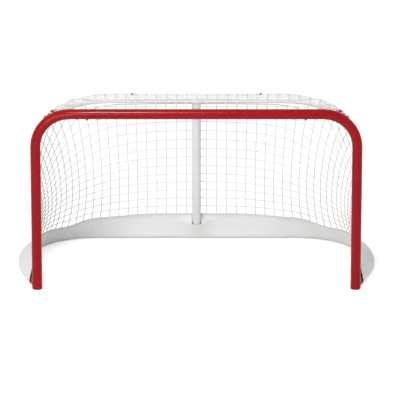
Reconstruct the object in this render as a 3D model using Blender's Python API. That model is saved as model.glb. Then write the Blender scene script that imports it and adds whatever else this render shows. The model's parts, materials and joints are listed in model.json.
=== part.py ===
# Mini hockey goal: a red front frame of bent steel tube, a white rear frame of thinner
# tube plugged into sockets welded on the posts, and a net with a vinyl skirt round it.
# Metres, +Z up. The mouth faces -Y and the posts stand on the plane y = 0.
import math

import bmesh
import bpy
from mathutils import Matrix, Vector

for old in list(bpy.data.objects):
    bpy.data.objects.remove(old, do_unlink=True)

# Overall sizes
GOAL_WIDTH = 0.9144  # over the outsides of the posts
GOAL_HEIGHT = 0.5207  # floor to the top of the crossbar
BASE_DEPTH = 0.445  # posts' centre line back to the base bar's
TOP_DEPTH = 0.151  # posts' centre line back to the top bar's

# Front frame
POST_DIAMETER = 0.0286
POST_WALL = 0.0012
CORNER_RADIUS = 0.094  # centre line of the bend from post to crossbar
CORNER_LEG = 0.067  # straight stretch from that bend to the crossbar's seam
FOOT_CAP_LIP = 0.003
FOOT_CAP_PLUG = 0.013

# Rear frame
REAR_DIAMETER = 0.0254
REAR_WALL = 0.0012
BASE_FLARE = 16.5  # degrees by which the base arms open outwards
BASE_LEAD = 0.115  # straight stretch before their side bend
SIDE_RADIUS = 0.330
SIDE_RETURN = 22.0  # degrees of inward heading where the side bend meets the corner
BASE_LEG = 0.060  # straight stretch from the corner to the base bar's seam
TOP_ANGLE = 51.0  # degrees up the corner bend to the top sockets
TOP_TOE_IN = 20.0  # degrees by which the top arms head inwards
TOP_LEG = 0.082

# How the tubes go together
GAP = 0.0003  # between pieces that touch or slide
SOCKET_WALL = 0.0010
SOCKET_REACH = 0.050  # post centre line to the socket's mouth
SOCKET_FLOOR = 0.0030  # behind the post's surface, where the arm stops
SPIGOT_LENGTH = 0.040
SPIGOT_WALL = 0.0012
SEAM_CHAMFER = 0.0006

# Snap buttons and their springs
BUTTON_OFFSET = 0.018  # from the seam to the button
BUTTON_RADIUS = 0.0030
BUTTON_RISE = 0.0035  # above the outer tube
BUTTON_FLANGE = 0.0042
BUTTON_FLANGE_THICK = 0.0010
BUTTON_CLEARANCE = 0.0004
SPRING_STRIP = 0.0008
SPRING_WIDTH = 0.0080
SPRING_TIP = 0.0080
SPRING_BACK = 0.0230
SPRING_EYE = 0.0032

# Screws
SCREW_RADIUS = 0.0018
SCREW_HEAD_RADIUS = 0.0034
SCREW_HEAD_HEIGHT = 0.0018
SCREW_CLEARANCE = 0.0003
SCREW_PLACE = 0.0225  # post centre line to the screw
SET_SCREW_RADIUS = 0.0020

# Centre post fittings
TEE_WALL = 0.0015
TEE_WIDTH = 0.0254  # along the bar
TEE_COLLAR = 0.0220  # bar centre to the post tube's end
TEE_PLUG = 0.024

# Net, its edge rope and its hooks
ROPE_DIAMETER = 0.005
HOOK_ROD = 0.0026
HOOK_SPACING = 0.105
NET_CORD = 0.0030  # side of the square that stands for the cord
NET_ROWS = 6
SIDE_COLUMNS = 5
CORNER_COLUMNS = 2  # in each of the two pieces of a corner
REAR_COLUMNS = 11
TOP_COLUMNS = 15
TOP_ROWS = 3
TOP_NET_TILT = 25.0  # degrees forward of the tube's top where the top net ends
NET_FULLNESS = 1.8  # 1 spreads the columns evenly, more keeps the rear ones upright

# Skirt
SKIRT_SHEET = 0.0012
SKIRT_BAND = 0.080  # base tube centre up to the seam with the net
SKIRT_START = 0.030  # post centre line to the skirt's front edge
HEM_GAP = 0.0008  # hem to the net
FRONT_LEAN = 12.0  # degrees by which the cloth leans in at the post
SIDE_LEAN = 34.0
CORNER_LEAN = 44.0
SKIRT_FLAT = 0.0005  # cut flat where it stands on the floor
SLEEVE_CLEARANCE = 0.0002
SLOT_CLEARANCE = 0.0008  # round the centre post

# Facets
POST_SIDES = 20
REAR_SIDES = 16
TEE_SIDES = 24
BEND_STEP = 12.0  # degrees
SLEEVE_STEPS = 8

# Derived sizes
postRadius = POST_DIAMETER / 2
rearRadius = REAR_DIAMETER / 2
postBore = postRadius - POST_WALL
rearBore = rearRadius - REAR_WALL
socketBore = rearRadius + GAP
socketRadius = socketBore + SOCKET_WALL
teeRadius = rearRadius + GAP + TEE_WALL
sleeveInner = teeRadius + GAP + SLEEVE_CLEARANCE
sleeveOuter = sleeveInner + SKIRT_SHEET
baseHeight = sleeveOuter - SKIRT_FLAT
postX = GOAL_WIDTH / 2 - postRadius
crossbarHeight = GOAL_HEIGHT - postRadius
bendX = postX - CORNER_RADIUS
bendHeight = crossbarHeight - CORNER_RADIUS
seamX = bendX - CORNER_LEG
ropeRadius = ROPE_DIAMETER / 2
ropeBehind = postRadius + GAP + ropeRadius
netOffset = teeRadius + GAP + NET_CORD * 0.65
postLean = math.atan2(BASE_DEPTH - TOP_DEPTH, crossbarHeight - baseHeight)


def finish(name, colour, roughness, metallic=0.0):
    material = bpy.data.materials.new(name)
    material.use_nodes = True
    shader = material.node_tree.nodes["Principled BSDF"]
    shader.inputs["Base Color"].default_value = (*colour, 1.0)
    shader.inputs["Roughness"].default_value = roughness
    shader.inputs["Metallic"].default_value = metallic
    material.diffuse_color = (*colour, 1.0)
    return material


redPaint = finish("red_paint", (0.42, 0.010, 0.016), 0.32)
whitePaint = finish("white_paint", (0.80, 0.80, 0.80), 0.38)
whitePlastic = finish("white_plastic", (0.82, 0.82, 0.80), 0.45)
redPlastic = finish("red_plastic", (0.36, 0.010, 0.014), 0.50)
springSteel = finish("spring_steel", (0.45, 0.45, 0.47), 0.35, 1.0)
blackSteel = finish("black_steel", (0.030, 0.030, 0.032), 0.40, 1.0)
zincSteel = finish("zinc_steel", (0.62, 0.63, 0.64), 0.32, 1.0)
netCord = finish("net_cord", (0.84, 0.84, 0.83), 0.85)
ropeCord = finish("edge_rope", (0.82, 0.82, 0.80), 0.85)
skirtVinyl = finish("skirt_vinyl", (0.80, 0.80, 0.79), 0.48)


# Everything hangs from this, which brings the middle of the goal's depth over the origin.
goalOrigin = bpy.data.objects.new("goal_origin", None)
goalOrigin.location.y = -(BASE_DEPTH + sleeveOuter - postRadius) / 2
bpy.context.scene.collection.objects.link(goalOrigin)


# ---- mesh making ----


def solid(name, points, faces, material, place=None):
    """A named object from points and faces, with its normals facing out."""
    mesh = bpy.data.meshes.new(name)
    mesh.from_pydata([tuple(p) for p in points], [], faces)
    form = bmesh.new()
    form.from_mesh(mesh)
    bmesh.ops.recalc_face_normals(form, faces=form.faces)
    if form.calc_volume(signed=True) < 0:
        bmesh.ops.reverse_faces(form, faces=form.faces)
    form.to_mesh(mesh)
    form.free()
    mesh.materials.append(material)
    mesh.shade_smooth()
    mesh.set_sharp_from_angle(angle=math.radians(38))
    thing = bpy.data.objects.new(name, mesh)
    bpy.context.scene.collection.objects.link(thing)
    thing.parent = goalOrigin
    if place:
        thing.matrix_basis = place
    return thing


def helper(name, points, faces, place=None):
    """A shape that only cuts or joins others."""
    thing = solid(name, points, faces, redPaint, place)
    thing.hide_render = True
    thing.display_type = "WIRE"
    return thing


def boolean(target, tool, operation):
    change = target.modifiers.new(tool.name, "BOOLEAN")
    change.operation = operation
    change.solver = "EXACT"
    change.object = tool


def rings_along(path, radius, sides):
    """One ring of points round each point of the path, mitred at its bends and free of twist."""
    path = [Vector(p) for p in path]
    flat_normal = plane_normal(path)
    rings = []
    for i, point in enumerate(path):
        back = (point - path[i - 1]).normalized() if i else None
        ahead = (path[i + 1] - point).normalized() if i + 1 < len(path) else None
        back, ahead = back or ahead, ahead or back
        tangent = (back + ahead).normalized()
        across = tangent.cross(flat_normal).normalized()
        stretch = 1 / max(0.5, back.dot(tangent))
        ring = []
        for k in range(sides):
            turn = 2 * math.pi * (k + 0.5) / sides
            offset = across * math.cos(turn) * stretch + flat_normal * math.sin(turn)
            ring.append(point + offset * radius)
        rings.append(ring)
    return rings


def plane_normal(path):
    """The normal of the plane that the path lies in, or any one square to a straight path."""
    first = (path[1] - path[0]).normalized()
    for i in range(1, len(path) - 1):
        normal = first.cross(path[i + 1] - path[i])
        if normal.length > 1e-6:
            return normal.normalized()
    return first.orthogonal().normalized()


def skin(rings, around=True):
    """Quads between rings that follow each other. The last joins the first if around is False."""
    count = len(rings[0])
    total = len(rings) - 1 if around else len(rings)
    faces = []
    for i in range(total):
        low = i * count
        high = ((i + 1) % len(rings)) * count
        for k in range(count):
            turn = (k + 1) % count
            faces.append((low + k, low + turn, high + turn, high + k))
    return faces


def rod(path, radius, sides):
    rings = rings_along(path, radius, sides)
    faces = skin(rings)
    faces.append(tuple(range(sides)))
    faces.append(tuple(range(len(rings) * sides - sides, len(rings) * sides)))
    return [p for ring in rings for p in ring], faces


def hollow(path, radius, bore, sides):
    """A tube wall: outer rings out, inner rings back, joined at both mouths."""
    outer = rings_along(path, radius, sides)
    inner = rings_along(path, bore, sides)
    rings = outer + inner[::-1]
    return [p for ring in rings for p in ring], skin(rings, around=False)


def turned(profile, sides, closed=False):
    """A profile of (radius, height) points spun round Z. An open one starts and ends on the axis."""
    points = []
    rows = []
    for radius, height in profile:
        if radius == 0:
            rows.append([len(points)] * sides)
            points.append(Vector((0, 0, height)))
            continue
        rows.append(list(range(len(points), len(points) + sides)))
        for k in range(sides):
            turn = 2 * math.pi * (k + 0.5) / sides
            points.append(Vector((radius * math.cos(turn), radius * math.sin(turn), height)))
    faces = []
    pairs = list(zip(rows, rows[1:]))
    if closed:
        pairs.append((rows[-1], rows[0]))
    for low, high in pairs:
        for k in range(sides):
            turn = (k + 1) % sides
            face = (low[k], low[turn], high[turn], high[k])
            faces.append(tuple(dict.fromkeys(face)))
    return points, faces


def strip(line, thickness, width):
    """A bent strip: the line, in X and Z, thickened both ways and drawn out along Y."""
    sides = []
    for sign in (1, -1):
        for i, point in enumerate(line):
            back = (line[i] - line[i - 1]).normalized() if i else (line[1] - line[0]).normalized()
            ahead = (line[i + 1] - line[i]).normalized() if i + 1 < len(line) else back
            mean = (back + ahead).normalized()
            square = Vector((-mean.y, mean.x)) / max(0.5, back.dot(mean))
            sides.append(point + square * sign * thickness / 2)
    count = len(line)
    outline = list(range(count)) + list(range(2 * count - 1, count - 1, -1))
    points = [Vector((p.x, y, p.y)) for y in (-width / 2, width / 2) for p in sides]
    faces = []
    for i, here in enumerate(outline):
        there = outline[(i + 1) % len(outline)]
        faces.append((here, there, there + 2 * count, here + 2 * count))
    for shift in (0, 2 * count):
        for i in range(count - 1):
            faces.append(
                (i + shift, i + 1 + shift, i + 1 + count + shift, i + count + shift)
            )
    return points, faces


def facing(origin, along, out):
    """A place whose X runs along a tube and whose Z points out of it."""
    along = Vector(along).normalized()
    out = Vector(out)
    out = (out - along * out.dot(along)).normalized()
    place = Matrix((along, out.cross(along), out)).transposed().to_4x4()
    place.translation = Vector(origin)
    return place


def mirrored(points):
    return [Vector((-p[0], p[1], p[2])) for p in points]


# ---- centre lines, as a tube bender would state them ----


def bent_run(start, heading, moves):
    """Stops on a flat bent line: a point and a heading in degrees from the second axis."""
    stops = [(Vector(start), heading)]
    for kind, size, turn in moves:
        here, heading = stops[-1]
        angle = math.radians(heading)
        if kind == "straight":
            here = here + Vector((math.sin(angle), math.cos(angle))) * size
            stops.append((here, heading))
            continue
        centre = here + Vector((math.cos(angle), -math.sin(angle))) * size
        steps = max(1, round(turn / BEND_STEP))
        for i in range(1, steps + 1):
            angle = math.radians(heading + turn * i / steps)
            here = centre + Vector((-math.cos(angle), math.sin(angle))) * size
            stops.append((here, math.degrees(angle)))
    return stops


def points_of(run):
    return [point for point, _ in run]


def closing_radius(depth_left, heading):
    """Radius of the bend that turns from this heading to straight across in that depth."""
    return depth_left / (1 - math.sin(math.radians(heading)))


def front_line():
    """The left post, its bend and its leg up to the seam."""
    start = (-postX, FOOT_CAP_LIP / 2)
    moves = [
        ("straight", bendHeight - start[1], 0),
        ("arc", CORNER_RADIUS, 90),
        ("straight", CORNER_LEG - GAP / 2, 0),
    ]
    return [Vector((p.x, 0, p.y)) for p, _ in bent_run(start, 0, moves)]


def base_run(start_at, leg):
    """The left base arm from this far along its heading, with a leg of that length."""
    opening = bent_run((-postX, 0), -BASE_FLARE, [("straight", start_at, 0)])[-1][0]
    side = [
        ("straight", BASE_LEAD - start_at, 0),
        ("arc", SIDE_RADIUS, BASE_FLARE + SIDE_RETURN),
    ]
    reach = bent_run(opening, -BASE_FLARE, side)[-1][0].y
    corner = closing_radius(BASE_DEPTH - reach, SIDE_RETURN)
    moves = side + [("arc", corner, 90 - SIDE_RETURN), ("straight", leg, 0)]
    run = bent_run(opening, -BASE_FLARE, moves)
    return [(Vector((p.x, p.y, baseHeight)), heading) for p, heading in run]


def top_start():
    angle = math.radians(TOP_ANGLE)
    x = -bendX - CORNER_RADIUS * math.cos(angle)
    return Vector((x, bendHeight + CORNER_RADIUS * math.sin(angle)))


def top_lift(y):
    """Height of the top arms, which rise evenly to the level of the crossbar."""
    low = top_start().y
    return low + (crossbarHeight - low) * y / TOP_DEPTH


def top_run(start_at, leg):
    opening = bent_run((top_start().x, 0), TOP_TOE_IN, [("straight", start_at, 0)])[-1][0]
    lead = [("straight", SOCKET_REACH - start_at, 0)]
    reach = bent_run(opening, TOP_TOE_IN, lead)[-1][0].y
    corner = closing_radius(TOP_DEPTH - reach, TOP_TOE_IN)
    moves = lead + [("arc", corner, 90 - TOP_TOE_IN), ("straight", leg, 0)]
    run = bent_run(opening, TOP_TOE_IN, moves)
    return [(Vector((p.x, p.y, top_lift(p.y))), heading) for p, heading in run]


def seam_of(maker, leg):
    """X of the seam at the end of an arm's leg."""
    return maker(SCREW_PLACE, leg)[-1][0].x


class Rail:
    """A run carried on to the middle of the goal, with places on it found by distance."""

    def __init__(self, run):
        end, heading = run[-1]
        self.stops = run + [(Vector((0, end.y, end.z)), heading)]
        self.marks = [0.0]
        for (a, _), (b, _) in zip(self.stops, self.stops[1:]):
            self.marks.append(self.marks[-1] + (b - a).length)
        self.length = self.marks[-1]

    def at(self, distance):
        """The point at that distance, and the level direction out of the goal there."""
        i = 0
        while i < len(self.marks) - 2 and self.marks[i + 1] < distance:
            i += 1
        (a, low), (b, high) = self.stops[i : i + 2]
        share = (distance - self.marks[i]) / (self.marks[i + 1] - self.marks[i])
        angle = math.radians(low + (high - low) * share)
        return a.lerp(b, share), Vector((-math.cos(angle), math.sin(angle), 0))


# ---- front frame ----


def hook(point, side, back):
    """A welded peg that stands out behind the tube and turns over the edge rope."""
    stand = ropeRadius + GAP + HOOK_ROD / 2
    root = point + side * stand + back * (postRadius - POST_WALL)
    bend = point + side * stand + back * (ropeBehind + stand)
    tip = bend - side * (stand + HOOK_ROD / 4)
    return rod([root, bend, tip], HOOK_ROD / 2, 6)


def joined(shapes):
    points, faces = [], []
    for more_points, more_faces in shapes:
        shift = len(points)
        points += list(more_points)
        faces += [tuple(i + shift for i in face) for face in more_faces]
    return points, faces


def post_hooks():
    """Hooks up the left post and round the foot of its bend, at an even spacing."""
    back = Vector((0, 1, 0))
    shapes = []
    count = round((bendHeight - HOOK_SPACING / 2) / HOOK_SPACING)
    spacing = (bendHeight - HOOK_SPACING / 2) / count
    for i in range(count + 1):
        point = Vector((-postX, 0, HOOK_SPACING / 2 + spacing * i))
        shapes.append(hook(point, Vector((1, 0, 0)), back))
    return shapes


def base_heading():
    angle = math.radians(-BASE_FLARE)
    return Vector((math.sin(angle), math.cos(angle), 0))


def top_heading():
    (first, _), (second, _) = top_run(0, TOP_LEG)[:2]
    return (second - first).normalized()


def corner_post(side):
    name = side + "_corner_post"
    flip = mirrored if side == "right" else list
    line = front_line()
    path = flip(line)
    post = solid(name, *rod(path, postRadius, POST_SIDES), redPaint)

    places = (
        ("base", Vector((-postX, 0, baseHeight)), base_heading()),
        ("top", Vector((top_start().x, 0, top_start().y)), top_heading()),
    )
    for level, start, heading in places:
        stub = flip([start + heading * SEAM_CHAMFER, start + heading * SOCKET_REACH])
        tool = helper(f"{name}_{level}_socket", *rod(stub, socketRadius, POST_SIDES))
        boolean(post, tool, "UNION")
    leg = [Vector((-seamX - HOOK_SPACING / 2, 0, crossbarHeight))]
    leg_hooks = [hook(p, Vector((0, 0, -1)), Vector((0, 1, 0))) for p in leg]
    points, faces = joined(post_hooks() + leg_hooks)
    boolean(post, helper(name + "_hooks", flip(points), faces), "UNION")

    ends = [line[0] - Vector((0, 0, 0.01))] + line + [line[-1] + Vector((0.01, 0, 0))]
    boolean(post, helper(name + "_bore", *rod(flip(ends), postBore, POST_SIDES)), "DIFFERENCE")
    for level, start, heading in places:
        inside = start + heading * (postRadius + SOCKET_FLOOR - GAP)
        bore = flip([inside, start + heading * (SOCKET_REACH + 0.01)])
        tool = helper(f"{name}_{level}_bore", *rod(bore, socketBore, POST_SIDES))
        boolean(post, tool, "DIFFERENCE")
    for level, place in socket_screw_places(side):
        boolean(post, screw_hole(f"{name}_{level}_hole", place), "DIFFERENCE")
    button = front_button_place(side)
    boolean(post, button_hole(name + "_button_hole", button, postRadius), "DIFFERENCE")
    seat = [(0, -0.01), (postRadius + GAP, -0.01)]
    seat += [(postRadius + GAP, FOOT_CAP_LIP + GAP), (0, FOOT_CAP_LIP + GAP)]
    foot = Matrix.Translation((path[0].x, 0, 0))
    boolean(post, helper(name + "_seat", *turned(seat, POST_SIDES), foot), "DIFFERENCE")
    return post


def crossbar():
    bar = spigot_bar("crossbar", seamX, 0, crossbarHeight, postRadius, POST_WALL, redPaint)
    half = seamX - HOOK_SPACING / 2
    count = round(2 * half / HOOK_SPACING)
    shapes = []
    for i in range(count + 1):
        point = Vector((-half + 2 * half * i / count, 0, crossbarHeight))
        shapes.append(hook(point, Vector((0, 0, -1)), Vector((0, 1, 0))))
    boolean(bar, helper("crossbar_hooks", *joined(shapes)), "UNION")
    for side in ("left", "right"):
        place = front_button_place(side)
        boolean(bar, button_hole(f"crossbar_{side}_hole", place, postRadius), "DIFFERENCE")


def spigot_bar(name, seam, y, height, radius, wall, material):
    """A straight tube between two seams, drawn down at both ends to plug into its neighbours."""
    sides = POST_SIDES if radius == postRadius else REAR_SIDES
    plug = radius - wall - GAP
    seat = seam - GAP / 2
    bore = radius - wall
    plug_bore = plug - SPIGOT_WALL
    outer = [
        (plug, -seat - SPIGOT_LENGTH),
        (plug, -seat),
        (radius - SEAM_CHAMFER, -seat),
        (radius, -seat + SEAM_CHAMFER),
    ]
    inner = [
        (plug_bore, -seat - SPIGOT_LENGTH),
        (plug_bore, -seat + wall),
        (bore, -seat + 3 * wall),
    ]
    loop = outer + [(r, -h) for r, h in reversed(outer)]
    loop += [(r, -h) for r, h in inner] + list(reversed(inner))
    place = facing((0, y, height), (0, 0, 1), (1, 0, 0))
    return solid(name, *turned(loop, sides, closed=True), material, place)


def foot_cap(side):
    """A plug with a lip under the post, rounded at its edge. Its flat face stands on the floor."""
    plug = postBore - GAP
    edge = 0.0009
    top = FOOT_CAP_LIP + FOOT_CAP_PLUG
    profile = [
        (0, 0),
        (postRadius - edge, 0),
        (postRadius, edge),
        (postRadius, FOOT_CAP_LIP),
        (plug, FOOT_CAP_LIP),
        (plug, top),
        (0, top),
    ]
    x = -postX if side == "left" else postX
    place = Matrix.Translation((x, 0, 0))
    solid(side + "_foot_cap", *turned(profile, POST_SIDES), redPlastic, place)


# ---- fasteners ----


def socket_screw_places(side):
    """Where a screw holds each arm in its socket: on top of the base one, under the top one."""
    flip = mirrored if side == "right" else list
    base = Vector((-postX, 0, baseHeight)) + base_heading() * SCREW_PLACE
    top = Vector((top_start().x, 0, top_start().y)) + top_heading() * SCREW_PLACE
    heads = flip([base, base_heading(), top, top_heading()])
    return (
        ("base", facing(heads[0], heads[1], (0, 0, 1))),
        ("top", facing(heads[2], heads[3], (0, 0, -1))),
    )


def screw_hole(name, place):
    radius = SCREW_RADIUS + SCREW_CLEARANCE
    ends = [(0, socketRadius * 0.5), (radius, socketRadius * 0.5)]
    ends += [(radius, socketRadius * 1.5), (0, socketRadius * 1.5)]
    return helper(name, *turned(ends, 10), place)


def socket_screws(side):
    for level, place in socket_screw_places(side):
        seat = socketRadius + GAP
        tip = rearBore - 0.004
        profile = [
            (0, tip),
            (SCREW_RADIUS * 0.6, tip),
            (SCREW_RADIUS, tip + SCREW_RADIUS * 0.6),
            (SCREW_RADIUS, seat),
            (SCREW_HEAD_RADIUS, seat),
            (SCREW_HEAD_RADIUS, seat + SCREW_HEAD_HEIGHT * 0.4),
            (SCREW_HEAD_RADIUS * 0.6, seat + SCREW_HEAD_HEIGHT),
            (0, seat + SCREW_HEAD_HEIGHT),
        ]
        solid(f"{side}_{level}_screw", *turned(profile, 10), zincSteel, place)


def front_button_place(side):
    """Under the crossbar, out of sight and clear of the edge rope."""
    x = -seamX - BUTTON_OFFSET
    x = x if side == "left" else -x
    along = (-1 if side == "left" else 1, 0, 0)
    return facing((x, 0, crossbarHeight), along, (0, 0, -1))


def rear_button_place(side, seam, y, height):
    x = seam - BUTTON_OFFSET
    x = x if side == "left" else -x
    along = (-1 if side == "left" else 1, 0, 0)
    return facing((x, y, height), along, (0, 0, 1))


def button_hole(name, place, radius):
    size = BUTTON_RADIUS + BUTTON_CLEARANCE
    ends = [(0, radius * 0.4), (size, radius * 0.4), (size, radius * 1.3), (0, radius * 1.3)]
    return helper(name, *turned(ends, 12), place)


def snap_button(name, place, radius, wall, sides):
    """The button under the tube's hole, and the bent strip that holds it out."""
    plug_bore = (radius - wall - GAP - SPIGOT_WALL) * math.cos(math.pi / sides)
    top = math.sqrt(plug_bore**2 - BUTTON_FLANGE**2) - GAP
    under = top - BUTTON_FLANGE_THICK
    crown = radius + BUTTON_RISE
    dome = BUTTON_RADIUS * 0.45
    profile = [
        (0, under),
        (BUTTON_FLANGE, under),
        (BUTTON_FLANGE, top),
        (BUTTON_RADIUS, top),
        (BUTTON_RADIUS, crown - dome),
        (BUTTON_RADIUS * 0.80, crown - dome * 0.35),
        (BUTTON_RADIUS * 0.40, crown),
        (0, crown),
    ]
    solid(name + "_button", *turned(profile, 12), blackSteel, place)

    upper = under - GAP - SPRING_STRIP / 2
    lower = -math.sqrt(plug_bore**2 - (SPRING_WIDTH / 2) ** 2) + GAP + SPRING_STRIP / 2
    line = [Vector((SPRING_TIP, upper)), Vector((-BUTTON_FLANGE, upper))]
    for i in range(5):
        turn = math.radians(90 + 45 * i)
        eye = Vector((math.cos(turn), math.sin(turn))) * SPRING_EYE
        line.append(eye - Vector((SPRING_BACK, 0)))
    line += [Vector((-BUTTON_FLANGE, lower)), Vector((SPRING_TIP, lower))]
    solid(name + "_spring", *strip(line, SPRING_STRIP, SPRING_WIDTH), springSteel, place)


# ---- rear frame ----


def rear_arm(side, level):
    flip = mirrored if side == "right" else list
    start_at = postRadius + SOCKET_FLOOR
    maker, leg = (base_run, BASE_LEG) if level == "base" else (top_run, TOP_LEG)
    path = flip(points_of(maker(start_at, leg - GAP / 2)))
    name = f"{side}_{level}_arm"
    arm = solid(name, *hollow(path, rearRadius, rearBore, REAR_SIDES), whitePaint)
    place = dict(socket_screw_places(side))[level]
    boolean(arm, screw_hole(name + "_screw_hole", place), "DIFFERENCE")
    button = level_button_place(side, level)
    boolean(arm, button_hole(name + "_button_hole", button, rearRadius), "DIFFERENCE")


def level_button_place(side, level):
    if level == "base":
        return rear_button_place(side, seam_of(base_run, BASE_LEG), BASE_DEPTH, baseHeight)
    return rear_button_place(side, seam_of(top_run, TOP_LEG), TOP_DEPTH, crossbarHeight)


def rear_bar(level):
    if level == "base":
        name, seam, y, height = "base_rear_bar", seam_of(base_run, BASE_LEG), BASE_DEPTH, baseHeight
    else:
        name, seam, y, height = "top_rear_bar", seam_of(top_run, TOP_LEG), TOP_DEPTH, crossbarHeight
    bar = spigot_bar(name, -seam, y, height, rearRadius, REAR_WALL, whitePaint)
    for side in ("left", "right"):
        place = level_button_place(side, level)
        boolean(bar, button_hole(f"{name}_{side}_hole", place, rearRadius), "DIFFERENCE")
    boolean(bar, set_screw_hole(name + "_set_hole", level), "DIFFERENCE")


def post_ends():
    """Centres of the top and base bars, where the centre post's line runs, and its direction."""
    top = Vector((0, TOP_DEPTH, crossbarHeight))
    base = Vector((0, BASE_DEPTH, baseHeight))
    return top, base, (base - top).normalized()


def centre_post():
    top, base, down = post_ends()
    path = [top + down * (TEE_COLLAR + GAP), base - down * (TEE_COLLAR + GAP)]
    solid("centre_post", *hollow(path, rearRadius, rearBore, REAR_SIDES), whitePaint)


def set_screw_place(level):
    """Towards the mouth and down, clear of the post's collar, for both tees."""
    top, base, down = post_ends()
    centre, towards = (top, down) if level == "top" else (base, -down)
    out = Vector((0, -1, -1)) if level == "top" else Vector((0, -1, -0.45))
    return facing(centre, (1, 0, 0), out), towards


def set_screw_hole(name, level):
    radius = SET_SCREW_RADIUS + SCREW_CLEARANCE
    low, high = rearRadius * 0.5, rearRadius * 1.5
    ends = [(0, low), (radius, low), (radius, high), (0, high)]
    return helper(name, *turned(ends, 10), set_screw_place(level)[0])


def tee(level):
    """A moulded tee: a ring round the bar and a plug up the centre post, held by a set screw."""
    name = "upper_tee" if level == "top" else "lower_tee"
    place, towards = set_screw_place(level)
    centre = place.translation
    half = Vector((TEE_WIDTH / 2, 0, 0))
    ring = rod([centre - half, centre + half], teeRadius, TEE_SIDES)
    body = solid(name, *ring, whitePlastic)
    plug = rearBore - GAP
    edge = 0.0008
    profile = [
        (0, rearRadius * 0.3),
        (rearRadius, rearRadius * 0.3),
        (rearRadius, TEE_COLLAR),
        (plug, TEE_COLLAR),
        (plug, TEE_COLLAR + TEE_PLUG - edge),
        (plug - edge, TEE_COLLAR + TEE_PLUG),
        (0, TEE_COLLAR + TEE_PLUG),
    ]
    stem = helper(name + "_stem", *turned(profile, REAR_SIDES), facing(centre, (1, 0, 0), towards))
    boolean(body, stem, "UNION")
    far = Vector((TEE_WIDTH, 0, 0))
    bore = rod([centre - far, centre + far], rearRadius + GAP, TEE_SIDES)
    boolean(body, helper(name + "_bore", *bore), "DIFFERENCE")
    boolean(body, set_screw_hole(name + "_set_hole", level), "DIFFERENCE")
    crown = teeRadius - GAP
    tip = rearBore - 0.0015
    shank = [
        (0, tip),
        (SET_SCREW_RADIUS * 0.5, tip),
        (SET_SCREW_RADIUS, tip + SET_SCREW_RADIUS * 0.5),
        (SET_SCREW_RADIUS, crown),
        (SET_SCREW_RADIUS * 0.5, crown),
        (SET_SCREW_RADIUS * 0.5, crown - 0.0012),
        (0, crown - 0.0012),
    ]
    solid(name + "_set_screw", *turned(shank, 10), zincSteel, place)


# ---- edge ropes ----


def bend_share(distance):
    """Degrees of the corner bend that lie along this much of its centre line."""
    return math.degrees(distance / CORNER_RADIUS)


def post_rope(side):
    """Up behind the post and round the bend to just below the top socket."""
    flip = mirrored if side == "right" else list
    foot = baseHeight + socketRadius + ropeRadius + GAP
    turn = TOP_ANGLE - bend_share(socketRadius + 3 * ropeRadius)
    run = bent_run((-postX, foot), 0, [("straight", bendHeight - foot, 0), ("arc", CORNER_RADIUS, turn)])
    path = flip([Vector((p.x, ropeBehind, p.y)) for p, _ in run])
    solid(side + "_edge_rope", *rod(path, ropeRadius, 8), ropeCord)


def top_rope_end():
    """Degrees round the bend where the top rope starts, clear of the toed-in socket."""
    drift = ropeBehind * math.tan(math.radians(TOP_TOE_IN))
    return TOP_ANGLE + bend_share(socketRadius + 3 * ropeRadius + drift)


def top_rope():
    """Behind the crossbar, from above one top socket to above the other."""
    start = top_rope_end()
    angle = math.radians(start)
    x = -bendX - CORNER_RADIUS * math.cos(angle)
    low = (x, bendHeight + CORNER_RADIUS * math.sin(angle))
    run = bent_run(low, start, [("arc", CORNER_RADIUS, 90 - start)])
    left = [Vector((p.x, ropeBehind, p.y)) for p, _ in run]
    solid("top_edge_rope", *rod(left + mirrored(reversed(left)), ropeRadius, 8), ropeCord)


# ---- skirt and net ----


def ease(t):
    t = min(1.0, max(0.0, t))
    return t * t * (3 - 2 * t)


def rim(reach, chord):
    """A point beside the edge rope, `reach` along it from the middle of the crossbar to the floor.

    In the bend it stands off more, so that a straight cord of length `chord` clears the rope."""
    beside = ropeRadius + GAP + NET_CORD / 2
    bend = reach - bendX
    whole = CORNER_RADIUS * math.pi / 2
    if bend <= 0:
        return Vector((-reach, ropeBehind, crossbarHeight + beside))
    if bend >= whole:
        return Vector((-postX - beside, ropeBehind, bendHeight - (bend - whole)))
    radius = (CORNER_RADIUS + beside) / math.cos(chord * 0.75 / CORNER_RADIUS)
    turn = bend / CORNER_RADIUS
    x = -bendX - radius * math.sin(turn)
    return Vector((x, ropeBehind, bendHeight + radius * math.cos(turn)))


base_rail = Rail(base_run(0, 0)[:-1])
top_rail = Rail(top_run(0, 0)[:-1])
flareEnd = BASE_LEAD + SIDE_RADIUS * math.radians(BASE_FLARE)  # where the base is widest
cornerStart = BASE_LEAD + SIDE_RADIUS * math.radians(BASE_FLARE + SIDE_RETURN)
cornerEnd = base_rail.marks[-2]
cornerMiddle = (cornerStart + cornerEnd) / 2


def lean(distance):
    """Degrees: nearly upright at the post, most at the corner, along the centre post behind."""
    stops = (
        (SKIRT_START, FRONT_LEAN),
        (flareEnd, SIDE_LEAN),
        (cornerMiddle, CORNER_LEAN),
        (cornerEnd, math.degrees(postLean)),
    )
    if distance <= stops[0][0]:
        return stops[0][1]
    for (a, low), (b, high) in zip(stops, stops[1:]):
        if distance <= b:
            return low + (high - low) * ease((distance - a) / (b - a))
    return stops[-1][1]


def section(distance, up, out):
    """A point of the skirt's cross-section, up along its lean and out square to it."""
    point, outward = base_rail.at(distance)
    angle = math.radians(lean(distance))
    along = Vector((0, 0, 1)) * math.cos(angle) - outward * math.sin(angle)
    square = outward * math.cos(angle) + Vector((0, 0, 1)) * math.sin(angle)
    return point + along * up + square * out


def net_foot(distance):
    """The net's lower edge, just above the skirt's hem."""
    return section(distance, SKIRT_BAND + HEM_GAP + NET_CORD / 2, sleeveInner)


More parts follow.
